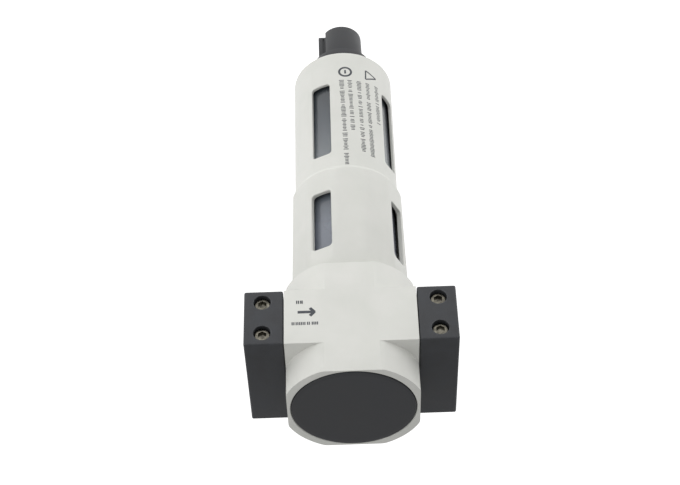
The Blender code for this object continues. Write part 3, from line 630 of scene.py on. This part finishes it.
def build_plate(name, node, side):
    inner, outer, front = plate_low.x, plate_high.x, HALF_DEPTH
    body = block((inner, -front, -HALF_BLOCK), (outer, front, HALF_BLOCK), PLATE_ROUND, 4)
    plate = make_piece(name, mirrored(body, side), None, None)
    port = [(0, outer + BEYOND), (PORT_RADIUS + 2 * BEYOND, outer + BEYOND),
            (PORT_RADIUS, outer - BEYOND), (PORT_RADIUS, inner - BEYOND), (0, inner - BEYOND)]
    carve(plate, mirrored(turn_to_x(lathe(port, 96, False)), side))
    groove = [(GROOVE_INNER, inner - BEYOND), (GROOVE_OUTER, inner - BEYOND),
              (GROOVE_OUTER, inner + GROOVE_DEPTH), (GROOVE_INNER, inner + GROOVE_DEPTH)]
    carve(plate, mirrored(turn_to_x(lathe(groove, 64)), side))
    hole = [(0, front + BEYOND), (HEAD_HOLE + BEYOND + 0.1, front + BEYOND),
            (HEAD_HOLE, front - 0.1), (HEAD_HOLE, front - HEAD_DEPTH),
            (SHANK_HOLE, front - HEAD_DEPTH), (SHANK_HOLE, SHANK_END), (0, SHANK_END)]
    for level in (SCREW_Z, -SCREW_Z):
        pocket = block((inner - BEYOND, POCKET_NEAR, level - POCKET_HALF),
                       (POCKET_END, POCKET_FAR, level + POCKET_HALF))
        carve(plate, mirrored(pocket, side))
        carve(plate, turn_to_front(lathe(hole, 48, False), side * SCREW_X, level))
    settle(plate, "black_coated_die_cast", "head", [node], 30)


build_plate("inlet_end_plate", "inlet_plate", 1)
build_plate("outlet_end_plate", "outlet_plate", -1)

# %% [markdown]
# Four identical socket screws hold the plates.  A repeated part is a job for Geometry Nodes: one
# screw is modelled, and a tree puts a copy on each corner of a two-by-two grid, turned to face the
# front.  Realize Instances makes the copies real mesh, because an exported model has no instances.

# %% Geometry Nodes helpers
def new_tree(name, sockets):
    """A geometry tree with its named inputs, given as name: type; returns it and the inputs."""
    tree = bpy.data.node_groups.new(name, "GeometryNodeTree")
    tree.interface.new_socket("Geometry", in_out="INPUT", socket_type="NodeSocketGeometry")
    for label, kind in sockets.items():
        tree.interface.new_socket(label, in_out="INPUT", socket_type=kind)
    tree.interface.new_socket("Geometry", in_out="OUTPUT", socket_type="NodeSocketGeometry")
    given = tree.nodes.new("NodeGroupInput")
    return tree, given.outputs


def end_tree(tree, geometry, material_socket):
    """Realize Instances, Set Material and the output, which every tree here ends with."""
    real = add_node(tree, "GeometryNodeRealizeInstances", {"Geometry": geometry})
    finished = add_node(tree, "GeometryNodeSetMaterial", {"Geometry": real.outputs["Geometry"],
                                                          "Material": material_socket})
    add_node(tree, "NodeGroupOutput", {"Geometry": finished.outputs["Geometry"]})


def run_tree(piece, tree, **values):
    """Runs a tree on a piece with its inputs set by identifier, and keeps the plain mesh."""
    modifier = piece.modifiers.new(tree.name, "NODES")
    modifier.node_group = tree
    for item in tree.interface.items_tree:
        if item.in_out == "INPUT" and item.name.replace(" ", "_") in values:
            modifier[item.identifier] = values[item.name.replace(" ", "_")]
    apply_modifiers(piece)


# %% [markdown]
# The screw itself is a turned head and shank with a hexagon socket sunk into the head.  Only its
# head shows, at the bottom of the plate's hole, where it catches one bright crescent of light.

# %% Screws
HEAD_RADIUS, HEAD_HEIGHT, HEAD_ROUND = 2.3, 1.5, 0.35
SHANK_RADIUS, SHANK_LENGTH, SHANK_LEAD = 1.5, 7.0, 0.4
KEY_ACROSS, KEY_FLOOR = 2.5, 0.6
SEAT_GAP = 0.3


def screw_bmesh():
    """A cap screw with its head on +Z and its seat at zero."""
    profile = [(0, HEAD_HEIGHT), (HEAD_RADIUS, HEAD_HEIGHT), (HEAD_RADIUS, 0), (SHANK_RADIUS, 0),
               (SHANK_RADIUS, SHANK_LEAD - SHANK_LENGTH),
               (SHANK_RADIUS - SHANK_LEAD, -SHANK_LENGTH), (0, -SHANK_LENGTH)]
    return lathe(soften(profile, HEAD_ROUND, corners=[1]), 48, False)


def hex_bmesh(across_flats, low, high):
    bm = bmesh.new()
    radius = across_flats / math.sqrt(3)
    bmesh.ops.create_cone(bm, cap_ends=True, segments=6, radius1=radius, radius2=radius,
                          depth=high - low, matrix=Matrix.Translation((0, 0, (high + low) / 2)))
    return bm


def screw_grid_tree():
    tree, given = new_tree("screws on a grid", {
        "Width": "NodeSocketFloat", "Height": "NodeSocketFloat", "Seat": "NodeSocketFloat",
        "Material": "NodeSocketMaterial"})
    grid = add_node(tree, "GeometryNodeMeshGrid", {
        "Size X": given["Width"], "Size Y": given["Height"], "Vertices X": 2, "Vertices Y": 2})
    copies = add_node(tree, "GeometryNodeInstanceOnPoints", {
        "Points": grid.outputs["Mesh"], "Instance": given["Geometry"]})
    seat = add_node(tree, "ShaderNodeCombineXYZ", {"Y": given["Seat"]})
    faced = add_node(tree, "GeometryNodeTransform", {
        "Geometry": copies.outputs["Instances"], "Translation": seat.outputs["Vector"],
        "Rotation": (math.pi / 2, 0, 0)})
    end_tree(tree, faced.outputs["Geometry"], given["Material"])
    return tree


screws = make_piece("plate_screws", screw_bmesh(), None, None)
carve(screws, hex_bmesh(KEY_ACROSS, KEY_FLOOR, HEAD_HEIGHT + BEYOND))
run_tree(screws, screw_grid_tree(), Width=2 * SCREW_X * MM, Height=2 * SCREW_Z * MM,
         Seat=(HEAD_DEPTH - HALF_DEPTH - SEAT_GAP) * MM, Material=MATERIALS["zinc_plated_steel"])
settle(screws, "zinc_plated_steel", "head", ["inlet_screw_upper", "inlet_screw_lower",
                                             "outlet_screw_upper", "outlet_screw_lower"])

# %% [markdown]
# Threads.  A thread is a ridge that follows a helix, so one tree serves them all: a spiral curve, a
# four-sided section swept along it on its corner, and Z Up normals so that the section never
# twists.  Pipe thread G 1/4 advances 1.337 mm a turn.  The guard's own thread is coarser.

# %% Threads
def thread_tree():
    tree, given = new_tree("thread", {
        "Radius": "NodeSocketFloat", "Pitch": "NodeSocketFloat", "Turns": "NodeSocketFloat",
        "Ridge": "NodeSocketFloat", "Along X": "NodeSocketFloat", "Start": "NodeSocketVector",
        "Material": "NodeSocketMaterial"})
    height = add_node(tree, "ShaderNodeMath", {0: given["Pitch"], 1: given["Turns"]},
                      operation="MULTIPLY")
    spiral = add_node(tree, "GeometryNodeCurveSpiral", {
        "Resolution": 64, "Rotations": given["Turns"], "Start Radius": given["Radius"],
        "End Radius": given["Radius"], "Height": height.outputs["Value"]})
    steady = add_node(tree, "GeometryNodeSetCurveNormal", {"Curve": spiral.outputs["Curve"]},
                      mode="Z_UP")
    section = add_node(tree, "GeometryNodeCurvePrimitiveCircle", {
        "Resolution": 4, "Radius": given["Ridge"]}, mode="RADIUS")
    swept = add_node(tree, "GeometryNodeCurveToMesh", {
        "Curve": steady.outputs["Curve"], "Profile Curve": section.outputs["Curve"],
        "Fill Caps": True})
    lean = add_node(tree, "ShaderNodeMath", {0: given["Along X"], 1: math.pi / 2},
                    operation="MULTIPLY")
    turn = add_node(tree, "ShaderNodeCombineXYZ", {"Y": lean.outputs["Value"]})
    placed = add_node(tree, "GeometryNodeTransform", {
        "Geometry": swept.outputs["Mesh"], "Translation": given["Start"],
        "Rotation": turn.outputs["Vector"]})
    end_tree(tree, placed.outputs["Geometry"], given["Material"])
    return tree


THREAD = thread_tree()


def thread(name, finish, body, radius, pitch, turns, ridge, start, along_x=0.0):
    piece = bpy.data.objects.new(name, bpy.data.meshes.new(name))
    bpy.context.scene.collection.objects.link(piece)
    run_tree(piece, THREAD, Radius=radius * MM, Pitch=pitch * MM, Turns=turns, Ridge=ridge * MM,
             Start=tuple(c * MM for c in start), Along_X=along_x, Material=MATERIALS[finish])
    settle(piece, finish, body)


PIPE_PITCH, PIPE_TURNS, PIPE_RIDGE = 1.337, 6.0, 0.42
for port, first in (("inlet", plate_low.x + 1.6), ("outlet", -plate_high.x + 2.1)):
    thread(f"{port}_pipe_thread", "black_coated_die_cast", "head", PORT_RADIUS, PIPE_PITCH,
           PIPE_TURNS, PIPE_RIDGE, (first, 0, 0), 1.0)
thread("guard_thread", "white_powder_coat_satin", "guard", radius=17.45, pitch=1.5, turns=3.0,
       ridge=0.30, start=(0, 0, -19.6))

# %% [markdown]
# The guard is the longest white surface.  Near the housing it has twelve flats for a grip; below
# that it is a plain cup.  Both are one turned profile: each point's radius is the smaller of the
# facet's and the turned cone's, so the flats fade into the round part in shallow scallops, exactly
# as a lathe leaves them on a twelve-sided bar.

# %% Guard shell
FACETS = 12
WINDOW_TURN = 27.0 - 90.0
APOTHEM, DRAFT = 17.87, 0.43
CORNER_RADIUS = 18.36
GRIP_TOP, GRIP_END, TAPER_END = NECK_END - 0.3, -60.6, -63.6
GRIP_LIP = 0.4
COLLAR_RADIUS, CUP_RADIUS, END_RADIUS, KNOB_HOLE = 17.6, 17.0, 11.0, 6.8
CUP_BORE, GRIP_BORE, COLLAR_BORE, END_WALL = 16.05, 16.8, 16.3, 1.8
CUP_MIDDLE, SHOULDER, SHOULDER_ROUND = -90.0, -117.0, 1.2


def grip_radius(angle, z):
    """Radius of the twelve-sided grip where a turned cone runs it out into the cup."""
    pitch = math.tau / FACETS
    away = (angle - math.radians(WINDOW_TURN) + pitch / 2) % pitch - pitch / 2
    lean = DRAFT * max(0.0, (z - GRIP_END) / (GRIP_TOP - GRIP_END))
    flat = min((APOTHEM + lean) / math.cos(away), CORNER_RADIUS + lean)
    if z > GRIP_END:
        return flat
    t = (GRIP_END - z) / (GRIP_END - TAPER_END)
    cone = CORNER_RADIUS + (CUP_RADIUS - CORNER_RADIUS) * t * t * (3 - 2 * t)
    return min(flat, cone)


def guard_bmesh():
    top, end = guard_high.z, guard_low.z
    taper = [(APOTHEM, GRIP_END + (TAPER_END - GRIP_END) * step / 8) for step in range(8)]
    outside = [(COLLAR_RADIUS, top), (COLLAR_RADIUS, GRIP_TOP), (APOTHEM, GRIP_TOP),
               (APOTHEM, GRIP_TOP - GRIP_LIP), *taper, (CUP_RADIUS, TAPER_END),
               (CUP_RADIUS, CUP_MIDDLE)]
    outside += quarter_round((CUP_RADIUS, SHOULDER + SHOULDER_ROUND),
                             (CUP_RADIUS - SHOULDER_ROUND, SHOULDER), 6)
    outside += [(END_RADIUS, end), (KNOB_HOLE, end)]
    inside = [(KNOB_HOLE, end + END_WALL), (END_RADIUS - 1.0, end + END_WALL),
              (CUP_BORE - SHOULDER_ROUND, SHOULDER + 2 * SHOULDER_ROUND),
              (CUP_BORE, SHOULDER + 3 * SHOULDER_ROUND), (CUP_BORE, -62.0), (GRIP_BORE, -59.0),
              (GRIP_BORE, -24.0), (COLLAR_BORE, -22.5), (COLLAR_BORE, top)]
    profile = outside + inside
    bm = lathe(profile, 12 * FACETS, True, WINDOW_TURN)
    for vert in bm.verts:
        radius = math.hypot(vert.co.x, vert.co.y)
        if abs(radius - APOTHEM) < 0.01:
            wanted = grip_radius(math.atan2(vert.co.y, vert.co.x), vert.co.z)
            if vert.co.z > GRIP_TOP - GRIP_LIP / 4:
                wanted -= GRIP_LIP / 2
            vert.co.x *= wanted / radius
            vert.co.y *= wanted / radius
    return bm


# %% [markdown]
# Eight windows look into the bowl.  Each cutter is lofted from three rings of one rounded
# rectangle: straight through the wall, then flaring at forty-five degrees just below the skin.
# Following the skin's own curve makes that small chamfer the same width all round, as a coated
# edge looks.

# %% Windows
def rounded_rectangle(half_width, low, high, corner, steps=5):
    points = []
    for x, z, start in ((half_width, high, 0), (-half_width, high, 90), (-half_width, low, 180),
                        (half_width, low, 270)):
        cx = x - math.copysign(corner, x)
        cz = z - corner if z == high else z + corner
        for step in range(steps + 1):
            angle = math.radians(start + 90 * step / steps)
            points.append((cx + corner * math.cos(angle), cz + corner * math.sin(angle)))
    return points


def window_bmesh(bm, low, high, turn, skin, half_width=3.45, corner=1.2, chamfer=0.10, clear=0.6):
    """Adds one window's cutter; skin(x) is the outer surface's distance from the axis at x."""
    rotate = Matrix.Rotation(math.radians(turn), 3, "Z")
    grow = chamfer + clear
    plain = rounded_rectangle(half_width, low, high, corner)
    flared = rounded_rectangle(half_width + grow, low - grow, high + grow, corner + grow)
    rings = []
    for outline, depth in ((plain, lambda x: 12.0), (plain, lambda x: skin(x) - chamfer),
                           (flared, lambda x: skin(x) + clear)):
        rings.append([bm.verts.new(rotate @ Vector((depth(x), x, z))) for x, z in outline])
    for inner, outer in zip(rings, rings[1:]):
        for k in range(len(inner)):
            n = (k + 1) % len(inner)
            bm.faces.new((inner[k], inner[n], outer[n], outer[k]))
    bm.faces.new(rings[0][::-1])
    bm.faces.new(rings[-1])


SHORT_WINDOW, LONG_WINDOW = (-52.5, -29.3), (-102.0, -69.5)
FLAT_CHAMFER = 0.3


def cup_skin(x):
    return math.sqrt(CUP_RADIUS ** 2 - x ** 2)


def build_guard():
    """The shell less its windows; the grip's flats lean, so the short windows' flare is deeper."""
    guard = make_piece("guard_shell", guard_bmesh(), None, None)
    cutters = bmesh.new()
    for quarter in range(4):
        turn = WINDOW_TURN + 90 * quarter
        window_bmesh(cutters, *SHORT_WINDOW, turn, lambda x: APOTHEM + DRAFT / 2,
                     chamfer=FLAT_CHAMFER)
        window_bmesh(cutters, *LONG_WINDOW, turn, cup_skin)
    carve(guard, cutters)
    settle(guard, "white_powder_coat_satin", "guard", ["bowl_guard"], 34)


build_guard()

# %% [markdown]
# The bowl is an injection-moulded cup with a flange at its mouth and a domed floor.  It only shows
# through the windows, but it is what gives them their colour, so its wall has its true thickness.

# %% Bowl
FLANGE_RADIUS, FLANGE_HEIGHT, WALL_TOP_RADIUS = 17.3, 2.0, 15.9
MOUTH_BORE, SKIRT_BORE, SKIRT_TOP = 14.4, 14.1, -16.0
WALL_FOOT_RADIUS, WALL_FOOT, DOME_END = 15.3, -107.0, 8.5
BORE_FOOT_RADIUS, BORE_FOOT, FLOOR_EDGE = 13.5, -106.0, 8.8
DRAIN_HOLE, FLOOR_WALL, DOME_STEPS = 5.1, 2.4, 14


def build_bowl():
    bottom, top = bowl_low.z, bowl_high.z
    floor = bottom + FLOOR_WALL
    profile = [(FLANGE_RADIUS, top), (FLANGE_RADIUS, top - FLANGE_HEIGHT),
               (WALL_TOP_RADIUS, top - FLANGE_HEIGHT)]
    profile += quarter_round((WALL_FOOT_RADIUS, WALL_FOOT), (DOME_END, bottom), DOME_STEPS)
    profile += [(DRAIN_HOLE, bottom), (DRAIN_HOLE, floor)]
    profile += quarter_round((BORE_FOOT_RADIUS, BORE_FOOT), (FLOOR_EDGE, floor), DOME_STEPS)[::-1]
    profile += [(SKIRT_BORE, SKIRT_TOP), (MOUTH_BORE, top)]
    make_piece("bowl_cup", lathe(profile, 128), "smoke_polycarbonate", "bowl_unit", ["bowl"])


build_bowl()

# %% [markdown]
# The drain has a base that clamps the bowl's floor and a knob that opens the valve.  The knob is
# turned by hand, so it carries a tab on one flattened side.  Both are nylon mouldings with small
# radii, drawn as softened profiles.

# %% Drain base and knob
BASE_STEM, BASE_NECK, BASE_FLANGE, BASE_TAIL, STEM_HOLE = 4.8, 6.5, 10.5, 4.0, 2.5
BASE_STEP, BASE_END, GUARD_GAP = -120.0, -126.0, 0.3
KNOB_TOP_RADIUS, KNOB_END_RADIUS, KNOB_BORE = 7.5, 7.15, 4.3
KNOB_STEM_HOLE, KNOB_BORE_END = 2.2, -132.0
TAB_FLAT, TAB_ROOT, TAB_HALF, TAB_DROP = 5.6, 4.8, 2.0, 0.4
GROOVE_NEAR, GROOVE_FAR, GROOVE_FLOOR, GROOVE_STOP = 6.25, 6.65, -1.55, 0.9


def build_drain_base():
    top, flange, neck = base_high.z, guard_low.z - GUARD_GAP, base_low.z
    profile = [(BASE_STEM, top), (BASE_STEM, BASE_STEP), (BASE_NECK, BASE_STEP),
               (BASE_NECK, flange), (BASE_FLANGE, flange), (BASE_FLANGE, BASE_END),
               (BASE_TAIL, BASE_END), (BASE_TAIL, neck), (STEM_HOLE, neck), (STEM_HOLE, top)]
    make_piece("drain_base", lathe(soften(profile, 0.4, corners=[4, 5]), 96),
               "black_moulded_nylon", "bowl_unit", ["drain_body"])


def build_knob():
    """The cap, its flattened side, the tab on it and the groove beside the tab."""
    top, end, reach = knob_high.z, knob_low.z, knob_high.x
    profile = [(KNOB_BORE, top), (KNOB_TOP_RADIUS, top), (KNOB_END_RADIUS, end),
               (KNOB_STEM_HOLE, end), (KNOB_STEM_HOLE, KNOB_BORE_END), (KNOB_BORE, KNOB_BORE_END)]
    knob = make_piece("drain_turn_knob", lathe(soften(profile, 0.5, 4, corners=[1, 2]), 96),
                      None, None)
    carve(knob, block((TAB_FLAT, -8, end - BEYOND), (9, 8, top + BEYOND)))
    carve(knob, block((TAB_ROOT, -TAB_HALF, end), (reach, TAB_HALF, top - TAB_DROP), 0.3), "UNION")
    carve(knob, block((GROOVE_NEAR, -TAB_HALF - BEYOND, end + GROOVE_STOP),
                      (GROOVE_FAR, GROOVE_FLOOR, top + BEYOND)))
    settle(knob, "black_moulded_nylon", "knob", ["drain_knob"])


build_drain_base()
build_knob()

# %% [markdown]
# The printed marks.  The flow arrow is a plain sign that any such unit needs, because fitted the
# wrong way round it filters nothing.  Everything else printed is reduced to plain shapes: a ring, a
# triangle and rows of dashes that carry no words.  Ink stands a few hundredths proud of the paint.

# %% Marks on the flat front
INK = 0.03
TICK_STEP, TICK_WIDTH = 0.52, 0.34
CODE_ROW = ((17.5, 2), (16.3, 6), (12.9, 2), (11.5, 4))    # first x and count of each run
LABEL_TICKS = (16.1, 15.55, 14.9, 14.45)


def flat_mark(bm, outline, y):
    """A thin slab on the front face from an (x, z) outline."""
    near = [bm.verts.new((x, y - INK, z)) for x, z in outline]
    far = [bm.verts.new((x, y + INK, z)) for x, z in outline]
    bm.faces.new(near)
    bm.faces.new(far[::-1])
    for k in range(len(near)):
        n = (k + 1) % len(near)
        bm.faces.new((near[n], near[k], far[k], far[n]))


def bar(start, end, width):
    """Outline of a straight stroke between two points."""
    along = (Vector(end) - Vector(start)).normalized()
    across = Vector((-along.y, along.x)) * width / 2
    a, b = Vector(start), Vector(end)
    return [tuple(a + across), tuple(b + across), tuple(b - across), tuple(a - across)]


def build_front_marks():
    bm = bmesh.new()
    tail, tip, row = 15.85, 10.75, -1.5
    barb, spread, stroke = 12.15, 1.45, 0.95
    flat_mark(bm, bar((tail, row), (tip + 0.6, row), stroke), -HALF_DEPTH)
    flat_mark(bm, bar((barb, row + spread), (tip, row - 0.1), stroke), -HALF_DEPTH - INK / 10)
    flat_mark(bm, bar((barb, row - spread), (tip, row + 0.1), stroke), -HALF_DEPTH - INK / 5)
    for first, count in CODE_ROW:
        for x in (first - TICK_STEP * tick for tick in range(count)):
            flat_mark(bm, bar((x, 2.2), (x, 3.3), TICK_WIDTH), -HALF_DEPTH)
    for x in LABEL_TICKS:
        flat_mark(bm, bar((x, -5.9), (x, -4.7), TICK_WIDTH + 0.02), -HALF_DEPTH)
    make_piece("front_marks", bm, "screen_print_ink", "head")


build_front_marks()

# %% [markdown]
# The guard is round, so its marks have to bend.  Each is drawn flat, as arc length and height, and
# wrapped onto the cup in short steps.  A band is one closed strip with four corners at every step,
# which leaves no faces inside it.

# %% Marks on the round guard
def wrap(points, radius):
    """Places (arc length, z) points on the cup; arc length runs from the front towards +X."""
    return [(radius * math.sin(s / CUP_RADIUS), -radius * math.cos(s / CUP_RADIUS), z)
            for s, z in points]


def cup_ribbon(bm, stations, closed=False):
    """A thin band on the cup through (left, right) pairs of points, each an (arc length, z)."""
    rings = []
    for left, right in stations:
        corners = wrap((left, right), CUP_RADIUS + INK) + wrap((right, left), CUP_RADIUS - INK)
        rings.append([bm.verts.new(corner) for corner in corners])
    for near, far in zip(rings, rings[1:] + rings[:1] if closed else rings[1:]):
        for k in range(4):
            n = (k + 1) % 4
            bm.faces.new((near[k], near[n], far[n], far[k]))
    if not closed:
        bm.faces.new(rings[0][::-1])
        bm.faces.new(rings[-1])


def cup_stroke(bm, start, end, width, step=1.0):
    """A straight stroke on the cup, in short steps so that it bends round the wall."""
    along = (end - start).normalized()
    across = Vector((-along.y, along.x)) * width / 2
    count = max(1, math.ceil((end - start).length / step))
    middles = [start.lerp(end, k / count) for k in range(count + 1)]
    cup_ribbon(bm, [(middle + across, middle - across) for middle in middles])


def arc_at(degrees):
    return CUP_RADIUS * math.radians(degrees)


RING_CENTRE, RING_RADIUS, RING_HALF, RING_STEPS = (-3.4, -106.95), 2.05, 0.36, 48
TRIANGLE = ((-28.4, -109.2), (-27.8, -104.9), (-42.4, -107.2))    # degrees round, and height


def build_guard_marks():
    bm = bmesh.new()
    centre = Vector((arc_at(RING_CENTRE[0]), RING_CENTRE[1]))
    angles = [math.tau * k / RING_STEPS for k in range(RING_STEPS)]
    spokes = [Vector((math.cos(angle), math.sin(angle))) for angle in angles]
    cup_ribbon(bm, [(centre + spoke * (RING_RADIUS + RING_HALF),
                     centre + spoke * (RING_RADIUS - RING_HALF)) for spoke in spokes], closed=True)
    middle = Vector((0, 0.85))
    cup_stroke(bm, centre - middle, centre + middle, 0.6)
    corners = [Vector((arc_at(degrees), z)) for degrees, z in TRIANGLE]
    for corner, following in zip(corners, corners[1:] + corners[:1]):
        cup_stroke(bm, corner, following, 0.5)
    make_piece("guard_marks", bm, "screen_print_ink", "guard")


build_guard_marks()

# %% [markdown]
# The rows beside the ring repeat a rule, so Geometry Nodes make them: a line of points down each
# row, a tick across the row on each point, a few points dropped for gaps, and a fixed seed so that
# every run gives the same rows.  Ticks give the fine grey texture of small print without saying
# anything.

# %% Rows of dashes
GAP_SHARE, SHORTEST_TICK = 0.14, 0.5
ROWS = ((1.2, -102.8, 39.5), (-8.2, -102.7, 24.0), (-19.0, -102.7, 33.0), (-29.8, -102.9, 34.0),
        (-42.2, -103.2, 17.5))      # degrees round the cup, first height and length
ROW_PITCH, ROW_WIDTH, ROW_STROKE, ROW_LEAN = 0.66, 1.75, 0.26, -0.024


def dash_tree():
    tree, given = new_tree("dashes", {
        "Count": "NodeSocketInt", "Pitch": "NodeSocketFloat", "Width": "NodeSocketFloat",
        "Stroke": "NodeSocketFloat", "Start": "NodeSocketVector", "Turn": "NodeSocketFloat",
        "Lean": "NodeSocketFloat", "Seed": "NodeSocketInt", "Material": "NodeSocketMaterial"})
    drift = add_node(tree, "ShaderNodeMath", {0: given["Pitch"], 1: given["Lean"]},
                     operation="MULTIPLY")
    step = add_node(tree, "ShaderNodeCombineXYZ", {
        "X": drift.outputs["Value"], "Z": given["Pitch"]})
    line = add_node(tree, "GeometryNodeMeshLine", {
        "Count": given["Count"], "Offset": step.outputs["Vector"]}, mode="OFFSET")
    gap = add_node(tree, "FunctionNodeRandomValue", {"Seed": given["Seed"]}, data_type="BOOLEAN")
    gap.inputs["Probability"].default_value = GAP_SHARE
    kept = add_node(tree, "GeometryNodeDeleteGeometry", {
        "Geometry": line.outputs["Mesh"], "Selection": gap.outputs[3]}, domain="POINT")
    size = add_node(tree, "ShaderNodeCombineXYZ", {"X": given["Width"], "Y": 2 * INK * MM,
                                                   "Z": given["Stroke"]})
    dash = add_node(tree, "GeometryNodeMeshCube", {"Size": size.outputs["Vector"]})
    height = add_node(tree, "FunctionNodeRandomValue", {"Seed": given["Seed"]}, data_type="FLOAT")
    height.inputs[2].default_value, height.inputs[3].default_value = SHORTEST_TICK, 1.0
    scale = add_node(tree, "ShaderNodeCombineXYZ", {"X": height.outputs[1], "Y": 1.0, "Z": 1.0})
    copies = add_node(tree, "GeometryNodeInstanceOnPoints", {
        "Points": kept.outputs["Geometry"], "Instance": dash.outputs["Mesh"],
        "Scale": scale.outputs["Vector"]})
    turn = add_node(tree, "ShaderNodeCombineXYZ", {"Z": given["Turn"]})
    placed = add_node(tree, "GeometryNodeTransform", {
        "Geometry": copies.outputs["Instances"], "Translation": given["Start"],
        "Rotation": turn.outputs["Vector"]})
    end_tree(tree, placed.outputs["Geometry"], given["Material"])
    return tree


DASHES = dash_tree()
for row, (degrees, first, length) in enumerate(ROWS):
    dashes = bpy.data.objects.new(f"guard_dashes_{row + 1}", bpy.data.meshes.new("dashes"))
    bpy.context.scene.collection.objects.link(dashes)
    angle = math.radians(degrees)
    place = Vector((CUP_RADIUS * math.sin(angle), -CUP_RADIUS * math.cos(angle), first)) * MM
    run_tree(dashes, DASHES, Count=round(length / ROW_PITCH), Pitch=ROW_PITCH * MM,
             Width=ROW_WIDTH * MM, Stroke=ROW_STROKE * MM, Lean=ROW_LEAN, Start=tuple(place),
             Turn=angle, Seed=row + 3, Material=MATERIALS["screen_print_ink"])
    settle(dashes, "screen_print_ink", "guard")

# %% [markdown]
# Light and floor.  A catalogue picture has no visible horizon: the floor is as bright as the air.
# The floor here is pale and gives off a little light of its own, like a light table, so it stays
# near white under the soft sky, and the white casting still reads against it.  One large softbox in
# front makes the front faces the brightest, a smaller one shapes the round parts, and a weak one
# fills the far side.  The floor lies well below the drain, so that the bowl can drop clear of it.

# %% Floor and light
FLOOR_DROP, FLOOR_SIZE = 110.0, 60000.0


def build_floor():
    bm = bmesh.new()
    bmesh.ops.create_grid(bm, x_segments=1, y_segments=1, size=FLOOR_SIZE / 2 * MM,
                          matrix=Matrix.Translation((0, 0, (knob_low.z - FLOOR_DROP) * MM)))
    mesh = bpy.data.meshes.new("floor")
    bm.to_mesh(mesh)
    bm.free()
    floor = bpy.data.objects.new("floor", mesh)
    bpy.context.scene.collection.objects.link(floor)
    mottled("matt_white_table", "#F2F2F2", "#F4F4F4", 40.0, (0.85, 0.95), 2.0, 0.05,
            Emission_Color=linear("#FFFFFF"), Emission_Strength=0.7)
    mesh.materials.append(MATERIALS["matt_white_table"])


def softbox(name, towards, distance, size, power):
    """A square area light at a distance in a direction, aimed at the middle of the object."""
    lamp = bpy.data.lights.new(name, "AREA")
    lamp.shape, lamp.size, lamp.energy = "SQUARE", size, power
    box = bpy.data.objects.new(name, lamp)
    middle = Vector((0, 0, (knob_low.z + cap_high.z) / 2 * MM))
    direction = Vector(towards).normalized()
    box.matrix_world = Matrix.Translation(middle + direction * distance) @ direction.to_track_quat(
        "Z", "Y").to_matrix().to_4x4()
    bpy.context.scene.collection.objects.link(box)
    print(f"{name}: {power} W at {distance} m")


def soft_sky(overhead=0.48, sweep=0.26):
    """A sky that is white at the horizon, like a studio sweep, and dimmer overhead."""
    world = bpy.data.worlds.new("soft sky")
    bpy.context.scene.world = world
    world.use_nodes = True
    tree = world.node_tree
    direction = add_node(tree, "ShaderNodeTexCoord")
    up = add_node(tree, "ShaderNodeSeparateXYZ", {"Vector": direction.outputs["Generated"]})
    glow = add_node(tree, "ShaderNodeMapRange", {
        "Value": up.outputs["Z"], "From Max": sweep, "To Min": 1.0, "To Max": overhead})
    background = tree.nodes["Background"]
    background.inputs["Color"].default_value = linear("#FFFFFF")
    tree.links.new(glow.outputs["Result"], background.inputs["Strength"])


build_floor()
soft_sky()
softbox("front_softbox", (0.12, -1.0, 0.25), 1.0, 0.6, 1.08)
softbox("side_softbox", (1.0, -0.35, 0.75), 0.6, 0.3, 0.5)
softbox("fill_softbox", (-1.0, -0.15, 0.1), 0.6, 0.3, 0.14)
bpy.context.scene.view_settings.view_transform = "Standard"
